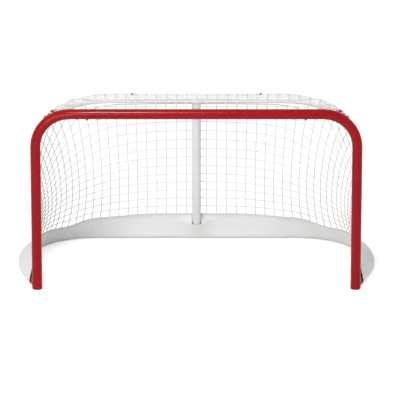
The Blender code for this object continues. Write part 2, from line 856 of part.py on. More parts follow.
def net_head(distance, tilt):
    """A point beside the top frame, tilted up from its outer side by so many radians."""
    share = (base_rail.length - distance) / (base_rail.length - SKIRT_START)
    reach = 0.92 * (1 - (1 - share) ** NET_FULLNESS) + 0.08 * share
    return beside_top(top_rail.length - reach * (top_rail.length - SCREW_PLACE), tilt)


def beside_top(distance, tilt):
    point, outward = top_rail.at(distance)
    offset = outward * math.cos(tilt) + Vector((0, 0, 1)) * math.sin(tilt)
    return point + offset * netOffset


def net_edge(rise):
    """The net's front edge, outside the rope, from the skirt (0) to below the top socket (1)."""
    low = net_foot(SKIRT_START).z
    bend = CORNER_RADIUS * math.radians(TOP_ANGLE) - socketRadius - 2 * ropeRadius
    whole = bendHeight - low + bend
    floor = bendX + CORNER_RADIUS * math.pi / 2 + bendHeight - low
    return rim(floor - rise * whole, whole / NET_ROWS)


def net_point(distance, rise):
    """A point of the net between base and top, drawn to the post at its front edge."""
    if distance == SKIRT_START:
        return net_edge(rise)
    point = net_foot(distance).lerp(net_head(distance, postLean), rise)
    first = net_foot(SKIRT_START).lerp(net_head(SKIRT_START, postLean), rise)
    share = 1 - ease((distance - SKIRT_START) / (cornerStart - SKIRT_START))
    return point + (net_edge(rise) - first) * share * (1 - rise**4)


def lattice(name, grid, first, last):
    """A flat cord net over the columns from first to last of a grid of points.

    A column that it shares with the next piece is drawn in by half its width."""
    rows, columns = len(grid), last - first + 1
    half = NET_CORD / 2

    def direction(r, c, dr, dc):
        low = grid[max(r - dr, 0)][max(c - dc, 0)]
        high = grid[min(r + dr, rows - 1)][min(c + dc, len(grid[0]) - 1)]
        return (high - low).normalized()

    points = []
    for r in range(rows):
        for c in range(first, last + 1):
            up = direction(r, c, 1, 0)
            along = direction(r, c, 0, 1)
            share = along.cross(up).length
            normal = along.cross(up) / share
            shift = (half + GAP / 2) / share
            place = grid[r][c]
            if c == first and c > 0:
                place = place + along * shift
            if c == last and c < len(grid[0]) - 1:
                place = place - along * shift
            for depth in (-half, half):
                for u, v in ((-1, -1), (1, -1), (1, 1), (-1, 1)):
                    spread = (along * u + up * v) * (half / share)
                    points.append(place + spread + normal * depth)

    def corner(r, c, back, k):
        return ((r * columns + c) * 2 + back) * 4 + k

    def wall(r, c, k, row, column, j):
        """The side of a cord, from corner k of one knot to corner j of the next."""
        front = (corner(r, c, 0, k), corner(row, column, 0, j))
        faces.append(front + (corner(row, column, 1, j), corner(r, c, 1, k)))

    faces = []
    for back in (0, 1):
        for r in range(rows):
            for c in range(columns):
                faces.append(tuple(corner(r, c, back, k) for k in range(4)))
                if c + 1 < columns:
                    ends = ((c, 1), (c + 1, 0), (c + 1, 3), (c, 2))
                    faces.append(tuple(corner(r, column, back, k) for column, k in ends))
                if r + 1 < rows:
                    ends = ((r, 3), (r, 2), (r + 1, 1), (r + 1, 0))
                    faces.append(tuple(corner(row, c, back, k) for row, k in ends))
    for r in range(rows):
        wall(r, 0, 0, r, 0, 3)
        wall(r, columns - 1, 1, r, columns - 1, 2)
        for c in range(columns - 1):
            wall(r, c, 1, r, c + 1, 0)
            wall(r, c, 2, r, c + 1, 3)
    for c in range(columns):
        wall(0, c, 0, 0, c, 1)
        wall(rows - 1, c, 3, rows - 1, c, 2)
        for r in range(rows - 1):
            wall(r, c, 3, r + 1, c, 0)
            wall(r, c, 2, r + 1, c, 1)
    solid(name, points, faces, netCord)


def spaced(low, high, count):
    return [low + (high - low) * i / count for i in range(count + 1)]


def net_columns():
    """Distances of the left half's columns round the base, up to the rear panel."""
    side = spaced(SKIRT_START, cornerStart, SIDE_COLUMNS)
    return side + spaced(cornerStart, cornerEnd, 2 * CORNER_COLUMNS)[1:]


def wall_nets():
    left = net_columns()
    rear = spaced(-1, 1, REAR_COLUMNS)[1:-1]
    half = base_rail.length
    grid = []
    for rise in spaced(0, 1, NET_ROWS):
        row = [net_point(place, rise) for place in left]
        for share in rear:
            point = net_point(half - abs(share) * (half - cornerEnd), rise)
            row.append(point if share <= 0 else mirrored([point])[0])
        row += mirrored([net_point(place, rise) for place in reversed(left)])
        grid.append(row)
    start = 0
    pieces = (
        ("left_side_net", SIDE_COLUMNS),
        ("left_front_corner_net", CORNER_COLUMNS),
        ("left_rear_corner_net", CORNER_COLUMNS),
        ("rear_net", REAR_COLUMNS),
        ("right_rear_corner_net", CORNER_COLUMNS),
        ("right_front_corner_net", CORNER_COLUMNS),
        ("right_side_net", SIDE_COLUMNS),
    )
    for name, count in pieces:
        lattice(name, grid, start, start + count)
        start += count


def top_net():
    """From the rope behind the crossbar to the top of the rear frame, short of its buttons."""
    front_reach = bendX + CORNER_RADIUS * math.radians(90 - top_rope_end())
    rear_reach = top_rail.length - SOCKET_REACH
    tilt = math.radians(90 + TOP_NET_TILT)
    grid = [[] for _ in range(TOP_ROWS + 1)]
    for share in spaced(-1, 1, TOP_COLUMNS):
        front = rim(front_reach * abs(share), 2 * front_reach / TOP_COLUMNS)
        rear = beside_top(top_rail.length - rear_reach * abs(share), tilt)
        for i, rise in enumerate(spaced(0, 1, TOP_ROWS)):
            point = front.lerp(rear, rise)
            grid[i].append(point if share <= 0 else mirrored([point])[0])
    lattice("top_net", grid, 0, TOP_COLUMNS)


def skirt_loops(distance):
    """Outer and inner loop of the skirt's section: a sleeve round the tube, closed in a hem."""
    inside = sleeveInner - SKIRT_SHEET
    outer = [(SKIRT_BAND, inside), (SKIRT_BAND, sleeveOuter)]
    inner = [(SKIRT_BAND * 0.94, inside + SKIRT_SHEET * 0.6), (SKIRT_BAND * 0.94, sleeveInner)]
    reach = math.hypot(SKIRT_BAND, sleeveInner)
    turned_to = math.pi + math.asin(sleeveInner / reach) + math.atan2(sleeveInner, SKIRT_BAND)
    for i in range(SLEEVE_STEPS + 1):
        turn = turned_to * i / SLEEVE_STEPS
        up, out = -math.sin(turn), math.cos(turn)
        outer.append((up * sleeveOuter, out * sleeveOuter))
        inner.append((up * sleeveInner, out * sleeveInner))
    loops = []
    for loop, floor in ((outer, 0.0), (inner, SKIRT_SHEET * 0.5)):
        ring = [section(distance, up, out) for up, out in loop]
        for point in ring:
            point.z = max(point.z, floor)
        loops.append(ring)
    return loops


def skirt_piece(name, pairs):
    """A skirt through pairs of outer and inner loops."""
    rings = [outer for outer, _ in pairs] + [inner for _, inner in reversed(pairs)]
    points = [p for ring in rings for p in ring]
    return solid(name, points, skin(rings, around=False), skirtVinyl)


def skirts():
    columns = net_columns()
    places = []
    for a, b in zip(columns, columns[1:]):
        places += [a, (a + b) / 2]
    places.append(cornerEnd - GAP / 2)
    left = [skirt_loops(place) for place in places]
    skirt_piece("left_skirt", left)
    skirt_piece("right_skirt", [[mirrored(loop) for loop in pair] for pair in left])
    end = skirt_loops(cornerEnd + GAP / 2)
    rear = skirt_piece("rear_skirt", [end, [mirrored(loop) for loop in end]])
    _, base, down = post_ends()
    slot = rod([base, base - down * SKIRT_BAND * 1.5], rearRadius + SLOT_CLEARANCE, REAR_SIDES)
    boolean(rear, helper("rear_skirt_slot", *slot), "DIFFERENCE")


# ---- the goal ----

for side in ("left", "right"):
    corner_post(side)
    foot_cap(side)
    socket_screws(side)
    rear_arm(side, "base")
    rear_arm(side, "top")
    post_rope(side)
    snap_button(f"{side}_crossbar", front_button_place(side), postRadius, POST_WALL, POST_SIDES)
    for level in ("base", "top"):
        place = level_button_place(side, level)
        snap_button(f"{side}_{level}_bar", place, rearRadius, REAR_WALL, REAR_SIDES)
crossbar()
rear_bar("base")
rear_bar("top")
centre_post()
tee("top")
tee("base")
skirts()
wall_nets()
top_rope()
top_net()
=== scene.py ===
import json
import math

import bpy
import numpy as np
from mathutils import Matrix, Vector


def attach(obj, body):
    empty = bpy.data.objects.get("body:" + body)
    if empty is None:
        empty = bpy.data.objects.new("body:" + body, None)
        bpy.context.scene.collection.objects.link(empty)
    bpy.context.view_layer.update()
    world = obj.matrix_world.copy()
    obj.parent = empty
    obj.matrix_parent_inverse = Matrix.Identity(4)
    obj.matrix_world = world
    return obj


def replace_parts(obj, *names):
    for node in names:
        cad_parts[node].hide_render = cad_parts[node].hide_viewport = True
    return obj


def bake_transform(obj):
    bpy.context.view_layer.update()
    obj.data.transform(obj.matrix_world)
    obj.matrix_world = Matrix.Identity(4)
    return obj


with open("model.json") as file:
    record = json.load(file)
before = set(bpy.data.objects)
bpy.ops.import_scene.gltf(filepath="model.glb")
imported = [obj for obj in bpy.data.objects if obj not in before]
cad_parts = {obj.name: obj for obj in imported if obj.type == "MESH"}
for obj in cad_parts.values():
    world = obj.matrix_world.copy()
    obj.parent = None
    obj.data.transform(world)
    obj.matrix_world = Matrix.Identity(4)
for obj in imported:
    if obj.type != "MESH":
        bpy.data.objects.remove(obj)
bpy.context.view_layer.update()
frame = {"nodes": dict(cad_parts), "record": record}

nodes = frame["nodes"]
upward = np.array([0.0, 0.0, 1.0])
backward = np.array([0.0, 1.0, 0.0])
mirror = np.array([-1.0, 1.0, 1.0])

# Lengths are metres and angles degrees. The left half is worked out and mirrored. Along the base
# tube and the top tube, "distance" starts at the post and ends behind, in the middle of the goal.


# Camera: a long lens, straight on and above the crossbar

cameraView = {
    "lens": 321.0,
    "distance": 10.0,
    "elevation": 18.0,
    "aim": (0.0101, -0.0851, 0.2142),
}


def addObject(name, data):
    thing = bpy.data.objects.new(name, data)
    bpy.context.scene.collection.objects.link(thing)
    return thing


def placeCamera(view):
    data = bpy.data.cameras.new("camera")
    data.lens = view["lens"]
    camera = addObject("camera", data)
    lift = math.radians(view["elevation"])
    away = Vector((0, -math.cos(lift), math.sin(lift))) * view["distance"]
    camera.location = Vector(view["aim"]) + away
    camera.rotation_euler = (math.pi / 2 - lift, 0, 0)
    bpy.context.scene.camera = camera


placeCamera(cameraView)
print("camera placed")


# Shader building blocks


def feed(tree, socket, value):
    if isinstance(value, bpy.types.NodeSocket):
        tree.links.new(value, socket)
    elif isinstance(value, tuple) and len(value) == 3 and socket.type == "RGBA":
        socket.default_value = (*value, 1)
    else:
        socket.default_value = value


def addNode(tree, kind, settings=None, **inputs):
    node = tree.nodes.new("ShaderNode" + kind)
    for key, value in (settings or {}).items():
        setattr(node, key, value)
    for key, value in inputs.items():
        feed(tree, node.inputs[key.replace("_", " ")], value)
    return node


def newFinish(name, colour, roughness, metallic=0.0):
    material = bpy.data.materials.new(name)
    material.use_nodes = True
    material.diffuse_color = (*colour, 1)
    tree = material.node_tree
    shader = tree.nodes["Principled BSDF"]
    feed(tree, shader.inputs["Base Color"], colour)
    shader.inputs["Roughness"].default_value = roughness
    shader.inputs["Metallic"].default_value = metallic
    return material, tree, shader


def placeOf(tree):
    return addNode(tree, "TexCoord").outputs["Object"]


def placeOnStrip(tree):
    spot = addNode(tree, "UVMap", {"uv_map": "along"})
    return addNode(tree, "SeparateXYZ", Vector=spot.outputs["UV"]).outputs


def stretched(tree, place, scale):
    return addNode(tree, "Mapping", Vector=place, Scale=scale).outputs["Vector"]


def mottle(tree, place, scale, detail, roughness=0.55):
    node = addNode(tree, "TexNoise", Vector=place, Scale=scale, Detail=detail, Roughness=roughness)
    return node.outputs["Fac"]


def ranged(tree, value, source, target):
    node = addNode(tree, "MapRange", Value=value, From_Min=source[0], From_Max=source[1])
    node.inputs["To Min"].default_value = target[0]
    node.inputs["To Max"].default_value = target[1]
    return node.outputs["Result"]


def worked(tree, operation, *values):
    node = addNode(tree, "Math", {"operation": operation})
    for socket, value in zip(node.inputs, values):
        feed(tree, socket, value)
    return node.outputs[0]


def waves(tree, value, pitch):
    return worked(tree, "SINE", worked(tree, "MULTIPLY", value, 2 * math.pi / pitch))


def twists(tree, operation, pitch, starts):
    spot = placeOnStrip(tree)
    along = worked(tree, "MULTIPLY", spot["Y"], 2 * math.pi / pitch)
    around = worked(tree, "MULTIPLY", spot["X"], 2 * math.pi * starts)
    return worked(tree, "SINE", worked(tree, operation, along, around))


def blended(tree, share, first, second):
    node = addNode(tree, "Mix", {"data_type": "RGBA"})
    sockets = (node.inputs[0], node.inputs[6], node.inputs[7])  # the share and the two colours
    for socket, value in zip(sockets, (share, first, second)):
        feed(tree, socket, value)
    return node.outputs[2]


def tinted(tree, shader, share, first, second):
    feed(tree, shader.inputs["Base Color"], blended(tree, share, first, second))


def raised(tree, shader, height, strength, depth):
    before = shader.inputs["Normal"]
    node = addNode(tree, "Bump", Height=height, Strength=strength, Distance=depth)
    if before.is_linked:
        tree.links.new(before.links[0].from_socket, node.inputs["Normal"])
    tree.links.new(node.outputs["Normal"], before)


def patched(tree, place, look, first, second):
    share = ranged(tree, mottle(tree, place, *look["patches"]), look["patchRange"], (0, 1))
    return blended(tree, share, look[first], look[second])


def hazed(tree, shader, place, look, roughness):
    less, more = look["hazeSwing"]
    target = (look[roughness] + less, look[roughness] + more)
    haze = ranged(tree, mottle(tree, place, *look["haze"]), look["hazeRange"], target)
    feed(tree, shader.inputs["Roughness"], haze)


def grained(tree, shader, place, look, noise):
    raised(tree, shader, mottle(tree, place, *look[noise]), *look[noise + "Relief"])


# Floor, lamps and white surroundings

studio = {
    "floorSide": 16.0,
    "floorGrey": (0.72, 0.72, 0.72),
    "floorRoughness": 0.9,
    "floorGlow": 0.55,  # seen by the camera only, so that the lit floor is just white
    "skyLight": 0.55,
    "skySeen": 1.0,
    "lamps": {
        "key_lamp": {"place": (-2.6, -3.0, 3.4), "size": (2.2, 2.2), "power": 10.0},
        "front_lamp": {"place": (-1.5, -4.4, 1.3), "size": (2.4, 1.4), "power": 88.0},
        "strip_lamp": {"place": (-0.34, -2.9, 4.1), "size": (0.32, 1.3), "power": 80.0},
    },
    "lampAim": (0.0, 0.0, 0.22),
}


def seenDirectly(tree):
    rays = addNode(tree, "LightPath").outputs
    seen = worked(tree, "MAXIMUM", rays["Is Camera Ray"], rays["Is Glossy Ray"])
    return worked(tree, "MAXIMUM", seen, rays["Is Transmission Ray"])


def makeFloor(look):
    half = look["floorSide"] / 2
    corners = [(-half, -half, 0), (half, -half, 0), (half, half, 0), (-half, half, 0)]
    mesh = bpy.data.meshes.new("floor")
    mesh.from_pydata(corners, [], [(0, 1, 2, 3)])
    floor = addObject("floor", mesh)
    material, tree, shader = newFinish("floor_paper", look["floorGrey"], look["floorRoughness"])
    glow = addNode(tree, "Emission", Strength=look["floorGlow"])
    clear = addNode(tree, "Emission", Strength=0.0)
    choice = addNode(tree, "MixShader", Fac=seenDirectly(tree))
    tree.links.new(clear.outputs[0], choice.inputs[1])
    tree.links.new(glow.outputs[0], choice.inputs[2])
    both = addNode(tree, "AddShader")
    tree.links.new(shader.outputs[0], both.inputs[0])
    tree.links.new(choice.outputs[0], both.inputs[1])
    tree.links.new(both.outputs[0], tree.nodes["Material Output"].inputs["Surface"])
    mesh.materials.append(material)


def makeSky(look):
    world = bpy.data.worlds.new("surroundings")
    world.use_nodes = True
    bpy.context.scene.world = world
    tree = world.node_tree
    strength = ranged(tree, seenDirectly(tree), (0, 1), (look["skyLight"], look["skySeen"]))
    tree.links.new(strength, tree.nodes["Background"].inputs["Strength"])
    tree.nodes["Background"].inputs["Color"].default_value = (1, 1, 1, 1)


def makeLamp(name, look, aim):
    data = bpy.data.lights.new(name, "AREA")
    data.shape = "RECTANGLE"
    data.size, data.size_y = look["size"]
    data.energy = look["power"]
    lamp = addObject(name, data)
    lamp.location = look["place"]
    lamp.rotation_euler = (Vector(aim) - lamp.location).to_track_quat("-Z", "Y").to_euler()


def makeStudio(look):
    makeFloor(look)
    makeSky(look)
    for name, lamp in look["lamps"].items():
        makeLamp(name, lamp, look["lampAim"])
    bpy.context.scene.view_settings.view_transform = "Standard"


makeStudio(studio)
print("studio lit")


# Finishes. A noise is given by its scale, its detail and in places its roughness, a range by the
# part of the noise that counts, a swing by what it takes from the finish's roughness and adds to it,
# and a relief by its strength and depth.

enamelLook = {
    "red": (0.31, 0.003, 0.006),
    "redDeep": (0.26, 0.002, 0.004),
    "redRoughness": 0.14,
    "white": (0.82, 0.82, 0.81),
    "whiteDull": (0.77, 0.77, 0.755),
    "whiteRoughness": 0.34,
    "shine": 0.13,
    "patches": (11.0, 4.0),
    "patchRange": (0.35, 0.75),
    "haze": (55.0, 5.0),
    "hazeRange": (0.35, 0.7),
    "hazeSwing": (-0.04, 0.05),
    "peel": (780.0, 2.0),  # the orange peel of the sprayed coat
    "peelRelief": (0.035, 0.0004),
}


def enamel(name, look, colour, second, roughness):
    material, tree, shader = newFinish(name, look[colour], look[roughness])
    place = placeOf(tree)
    feed(tree, shader.inputs["Base Color"], patched(tree, place, look, colour, second))
    hazed(tree, shader, place, look, roughness)
    grained(tree, shader, place, look, "peel")
    shader.inputs["Specular IOR Level"].default_value = look["shine"]
    return material


plasticLook = {
    "white": (0.80, 0.80, 0.77),
    "red": (0.30, 0.010, 0.012),
    "roughness": 0.48,
    "haze": (140.0, 3.0),
    "hazeRange": (0.3, 0.7),
    "hazeSwing": (-0.06, 0.08),
    "sink": (70.0, 2.0),
    "sinkRelief": (0.12, 0.0010),
    "grain": (1900.0, 2.0),
    "grainRelief": (0.18, 0.0002),
}


def mouldedPlastic(name, look, colour):
    material, tree, shader = newFinish(name, look[colour], look["roughness"])
    place = placeOf(tree)
    hazed(tree, shader, place, look, "roughness")
    grained(tree, shader, place, look, "sink")
    grained(tree, shader, place, look, "grain")
    return material


metalLook = {
    "zinc": (0.62, 0.63, 0.65),
    "zincYellow": (0.60, 0.58, 0.52),
    "zincRoughness": 0.30,
    "black": (0.07, 0.07, 0.075),
    "blackWorn": (0.20, 0.19, 0.18),
    "blackRoughness": 0.36,
    "spring": (0.42, 0.42, 0.44),
    "springBlue": (0.24, 0.27, 0.36),
    "springRoughness": 0.30,
    "patches": (260.0, 4.0),
    "patchRange": (0.45, 0.8),
    "scratches": (2600.0, 240.0, 240.0),  # the haze is drawn out into scratches
    "haze": (1.0, 2.0),
    "hazeRange": (0.3, 0.7),
    "hazeSwing": (-0.10, 0.14),
    "hazeRelief": (0.15, 0.0001),
}


def workedMetal(name, look, colour, second, roughness):
    material, tree, shader = newFinish(name, look[colour], look[roughness], 1.0)
    place = placeOf(tree)
    feed(tree, shader.inputs["Base Color"], patched(tree, place, look, colour, second))
    drawn = stretched(tree, place, look["scratches"])
    hazed(tree, shader, drawn, look, roughness)
    grained(tree, shader, drawn, look, "haze")
    return material


cordLook = {
    "colour": (0.84, 0.84, 0.83),
    # painted shade: the darker white that colours the grooves between the plaits
    "shade": (0.76, 0.76, 0.74),
    "roughness": 0.82,
    "plait": 0.0040,  # length of one plait along the cord
    "plaits": 4,  # strands seen round the cord
    "plaitRange": (-0.6, 0.6),
    "plaitRelief": (0.55, 0.0003),
    "fibre": (5200.0, 2.0),
    "fibreRelief": (0.25, 0.0001),
    "sheen": 0.25,
}


def plaitedCord(name, look):
    material, tree, shader = newFinish(name, look["colour"], look["roughness"])
    one = twists(tree, "ADD", look["plait"], look["plaits"])
    other = twists(tree, "SUBTRACT", look["plait"], look["plaits"])
    plait = worked(tree, "MAXIMUM", one, other)
    # painted shade in the plaits' grooves: where the plait pattern is low the colour goes to the darker
    # shade
    tinted(tree, shader, ranged(tree, plait, look["plaitRange"], (1, 0)), look["colour"], look["shade"])
    raised(tree, shader, plait, *look["plaitRelief"])
    grained(tree, shader, placeOf(tree), look, "fibre")
    shader.inputs["Sheen Weight"].default_value = look["sheen"]
    return material


ropeLook = {
    "colour": (0.80, 0.80, 0.78),
    # painted shade: the darker white that colours the grooves between the yarns
    "shade": (0.64, 0.64, 0.61),
    "roughness": 0.78,
    "yarn": 0.0026,
    "yarns": 5,
    "yarnRange": (-1.0, 0.2),
    "yarnRelief": (0.5, 0.0002),
    "fibre": (4200.0, 2.0),
    "fibreRelief": (0.3, 0.0001),
    "sheen": 0.3,
}


def twistedYarn(name, look):
    material, tree, shader = newFinish(name, look["colour"], look["roughness"])
    yarn = twists(tree, "SUBTRACT", look["yarn"], look["yarns"])
    # painted shade in the yarns' grooves: where the yarn pattern is low the colour goes to the darker shade
    tinted(tree, shader, ranged(tree, yarn, look["yarnRange"], (1, 0)), look["colour"], look["shade"])
    raised(tree, shader, yarn, *look["yarnRelief"])
    grained(tree, shader, placeOf(tree), look, "fibre")
    shader.inputs["Sheen Weight"].default_value = look["sheen"]
    return material


vinylLook = {
    "colour": (0.80, 0.80, 0.79),
    "dull": (0.75, 0.75, 0.735),
    "dirt": (0.56, 0.54, 0.50),
    "roughness": 0.42,
    "shine": 0.45,
    "patches": (7.0, 4.0),
    "patchRange": (0.35, 0.75),
    "smudges": (60.0, 5.0, 0.7),
    "dirtHeight": 0.016,
    "dirtShare": 0.55,  # of the dirt's colour, at the floor
    "haze": (34.0, 4.0),
    "hazeRange": (0.3, 0.7),
    "hazeSwing": (-0.06, 0.12),
    "creaseStretch": (1.0, 1.0, 1.7),
    "crease": (26.0, 3.0, 0.45),
    "creaseRelief": (0.45, 0.0040),
    "scrim": 0.0013,  # pitch of the threads that show through the coating
    "scrimRelief": (0.22, 0.0002),
}


def coatedVinyl(name, look):
    material, tree, shader = newFinish(name, look["colour"], look["roughness"])
    strip = placeOnStrip(tree)
    place = placeOf(tree)
    cloth = patched(tree, place, look, "colour", "dull")
    height = addNode(tree, "SeparateXYZ", Vector=place).outputs["Z"]
    low = ranged(tree, height, (0.0, look["dirtHeight"]), (look["dirtShare"], 0.0))
    smudge = worked(tree, "MULTIPLY", low, mottle(tree, place, *look["smudges"]))
    tinted(tree, shader, smudge, cloth, look["dirt"])
    hazed(tree, shader, place, look, "roughness")
    grained(tree, shader, stretched(tree, place, look["creaseStretch"]), look, "crease")
    warp, weft = waves(tree, strip["X"], look["scrim"]), waves(tree, strip["Y"], look["scrim"])
    raised(tree, shader, worked(tree, "MULTIPLY", warp, weft), *look["scrimRelief"])
    shader.inputs["Specular IOR Level"].default_value = look["shine"]
    return material


threadLook = {
    "colour": (0.70, 0.70, 0.68),
    "roughness": 0.6,
    "fibre": (6000.0, 2.0),
    "fibreRelief": (0.4, 0.0001),
}


def sewingThread(name, look):
    material, tree, shader = newFinish(name, look["colour"], look["roughness"])
    grained(tree, shader, placeOf(tree), look, "fibre")
    return material


finishes = {
    "red_paint": enamel("red_paint_finish", enamelLook, "red", "redDeep", "redRoughness"),
    "white_paint": enamel("white_paint_finish", enamelLook, "white", "whiteDull", "whiteRoughness"),
    "white_plastic": mouldedPlastic("white_plastic_finish", plasticLook, "white"),
    "red_plastic": mouldedPlastic("red_plastic_finish", plasticLook, "red"),
    "zinc_steel": workedMetal("zinc_finish", metalLook, "zinc", "zincYellow", "zincRoughness"),
    "black_steel": workedMetal("black_steel_finish", metalLook, "black", "blackWorn", "blackRoughness"),
    "spring_steel": workedMetal("spring_steel_finish", metalLook, "spring", "springBlue", "springRoughness"),
    "net_cord": plaitedCord("net_cord_finish", cordLook),
    "edge_rope": twistedYarn("edge_rope_finish", ropeLook),
    "skirt_vinyl": coatedVinyl("skirt_vinyl_finish", vinylLook),
    "thread": sewingThread("thread_finish", threadLook),
}
print("finishes mixed")


# Every CAD mesh gets its finish and round shading. The springs, ropes, nets and skirt are replaced
# further on.

shading = {
    "sharpTurn": 38.0,  # wider corners than this stay sharp
    "spotsPerMetre": 1e5,  # corners of the mesh that fall on one spot count as one
}


def unitRows(vectors):
    return vectors / np.maximum(np.linalg.norm(vectors, axis=-1, keepdims=True), 1e-12)


def allOf(items, name, width=1, kind=float):
    values = np.zeros(len(items) * width, kind)
    items.foreach_get(name, values)
    return values


def roundShading(mesh, limit):
    spots = allOf(mesh.vertices, "co", 3).reshape(-1, 3)
    sizes = allOf(mesh.polygons, "loop_total", kind=int)
    face = np.repeat(np.arange(len(sizes)), sizes)
    normals = allOf(mesh.polygons, "normal", 3).reshape(-1, 3)[face]
    weights = allOf(mesh.polygons, "area")[face]
    spots = spots[allOf(mesh.loops, "vertex_index", kind=int)]
    keys = np.round(spots * shading["spotsPerMetre"]).astype(int)
    order = np.lexsort(keys.T)
    ordered = keys[order]
    breaks = np.flatnonzero((ordered[1:] != ordered[:-1]).any(axis=1)) + 1
    result = np.zeros(normals.shape)
    least = math.cos(math.radians(limit))
    for group in np.split(order, breaks):
        own = normals[group]
        near = (own @ own.T > least) * weights[group]
        result[group] = near @ own
    mesh.normals_split_custom_set(unitRows(result))


def finishFrame(limit):
    for part in frame["record"]["subparts"]:
        thing = nodes[part["node"]]
        finish = finishes[part["material_slot"]]
        if not thing.material_slots:
            thing.data.materials.append(finish)
        for slot in thing.material_slots:
            slot.material = finish
        thing.data.shade_smooth()
        roundShading(thing.data, limit)


finishFrame(shading["sharpTurn"])
print("frame finished")


# Button springs: each one's CAD mesh is copied into a new piece that stands in for it

leaf = {
    "underButton": 0.0042,  # the button's flange presses this far to each side
    "eye": 0.0032,
    "eyeShare": 0.1,  # how much of the button's stroke the eye's top takes
    "buttons": ("crossbar", "top_bar", "base_bar"),
}


def bendSpring(name):
    old = nodes[name + "_spring"]
    piece = addObject(name + "_leaf_spring", old.data.copy())
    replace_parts(piece, name + "_spring")
    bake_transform(piece)


for side in ("left", "right"):
    for tube in leaf["buttons"]:
        bendSpring(f"{side}_{tube}")


# Centre lines of the goal, the same as the tubes'

goal = {
    "postX": 0.4429,
    "postY": -0.22345,
    "postRadius": 0.0143,
    "crossbarHeight": 0.5064,
    "cornerRadius": 0.094,
    "baseHeight": 0.0157,
    "baseDepth": 0.445,
    "baseFlare": 16.5,
    "baseLead": 0.115,
    "baseStep": 3.0,  # degrees from point to point of a bend
    "sideRadius": 0.330,
    "sideReturn": 22.0,
    "topDepth": 0.151,
    "topAngle": 51.0,  # up the corner bend to the top sockets
    "topToeIn": 20.0,
    "topStep": 12.0,
    "rearRadius": 0.0127,
    "socketRadius": 0.0140,
    "socketReach": 0.050,
    "ropeRadius": 0.0025,
    "ropeBehind": 0.0171,
}
bendX = goal["postX"] - goal["cornerRadius"]
bendHeight = goal["crossbarHeight"] - goal["cornerRadius"]
bendLength = goal["cornerRadius"] * math.pi / 2
socketTurn = math.radians(90 - goal["topAngle"])
socketAt = bendX + goal["cornerRadius"] * socketTurn
socketDrift = goal["ropeBehind"] * math.tan(math.radians(goal["topToeIn"]))


def marksAlong(lines):
    steps = np.linalg.norm(np.diff(lines, axis=-2), axis=-1)
    return np.concatenate([np.zeros((*steps.shape[:-1], 1)), np.cumsum(steps, axis=-1)], axis=-1)


def readAt(places, marks, line):
    return np.stack([np.interp(places, marks, line[:, k]) for k in range(3)], -1)


def outwardOf(heading):
    angle = np.radians(heading)
    return np.stack([-np.cos(angle), np.sin(angle), 0 * angle], -1)


def bentRun(start, heading, moves, step):
    stops = [(np.array(start, float), heading)]
    for size, turn in moves:
        here, heading = stops[-1]
        angle = math.radians(heading)
        if turn == 0:
            stops.append((here + np.array([math.sin(angle), math.cos(angle)]) * size, heading))
            continue
        centre = here + np.array([math.cos(angle), -math.sin(angle)]) * size
        steps = round(turn / step)
        for i in range(1, steps + 1):
            angle = math.radians(heading + turn * i / steps)
            here = centre + np.array([-math.cos(angle), math.sin(angle)]) * size
            stops.append((here, math.degrees(angle)))
    return stops


def closedBack(start, heading, moves, depth, step):
    end, last = bentRun(start, heading, moves, step)[-1]
    radius = (depth - end[1]) / (1 - math.sin(math.radians(last)))
    return bentRun(start, heading, moves + [(radius, 90 - last)], step)


class Rail:
    def __init__(self, run, heightAt):
        end, heading = run[-1]
        run = run + [(np.array([0.0, end[1]]), heading)]
        self.points = np.array([(x, goal["postY"] + y, heightAt(y)) for (x, y), _ in run])
        self.headings = np.array([heading for _, heading in run])
        self.marks = marksAlong(self.points)
        self.length = self.marks[-1]

    def at(self, distance):
        outward = outwardOf(np.interp(distance, self.marks, self.headings))
        return readAt(distance, self.marks, self.points), outward


def makeBaseRail(size):
    moves = [(size["baseLead"], 0), (size["sideRadius"], size["baseFlare"] + size["sideReturn"])]
    start = (-size["postX"], 0)
    run = closedBack(start, -size["baseFlare"], moves, size["baseDepth"], size["baseStep"])
    return Rail(run, lambda y: size["baseHeight"])


def topSocket(size):
    angle = math.radians(size["topAngle"])
    x = -bendX - size["cornerRadius"] * math.cos(angle)
    return x, bendHeight + size["cornerRadius"] * math.sin(angle)


def makeTopRail(size):
    x, low = topSocket(size)
    rise = size["crossbarHeight"] - low
    moves = [(size["socketReach"], 0)]
    run = closedBack((x, 0), size["topToeIn"], moves, size["topDepth"], size["topStep"])
    return Rail(run, lambda y: low + rise * y / size["topDepth"])


baseRail = makeBaseRail(goal)
topRail = makeTopRail(goal)
flareEnd = goal["baseLead"] + goal["sideRadius"] * math.radians(goal["baseFlare"])
cornerStart = goal["baseLead"] + goal["sideRadius"] * math.radians(goal["baseFlare"] + goal["sideReturn"])
cornerEnd = baseRail.marks[-2]
postLean = math.degrees(
    math.atan2(goal["baseDepth"] - goal["topDepth"], goal["crossbarHeight"] - goal["baseHeight"])
)


def behindFrame(reach, radius):
    turn = np.clip(reach - bendX, 0, bendLength) / goal["cornerRadius"]
    x = -np.minimum(reach, bendX) - radius * np.sin(turn)
    z = bendHeight + radius * np.cos(turn) - np.maximum(reach - bendX - bendLength, 0)
    return np.stack([x, np.full_like(x, goal["postY"] + goal["ropeBehind"]), z], -1)


# Mesh building blocks


def eased(share):
    share = np.clip(share, 0, 1)
    return share * share * (3 - 2 * share)


def newPiece(name, shape, slot, finish=None):
    points, faces, uv = shape
    mesh = bpy.data.meshes.new(name)
    mesh.from_pydata(points.tolist(), [], faces)
    mesh.materials.append(finishes[finish or slot])
    mesh.shade_smooth()
    layer = mesh.uv_layers.new(name="along")
    layer.data.foreach_set("uv", np.asarray(uv, np.float32).ravel())
    piece = addObject(name, mesh)
    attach(piece, "frame")
    return piece


def circling(count, first, second):
    turns = 2 * math.pi * np.arange(count) / count
    return np.cos(turns)[:, None] * first[..., None, :] + np.sin(turns)[:, None] * second[..., None, :]


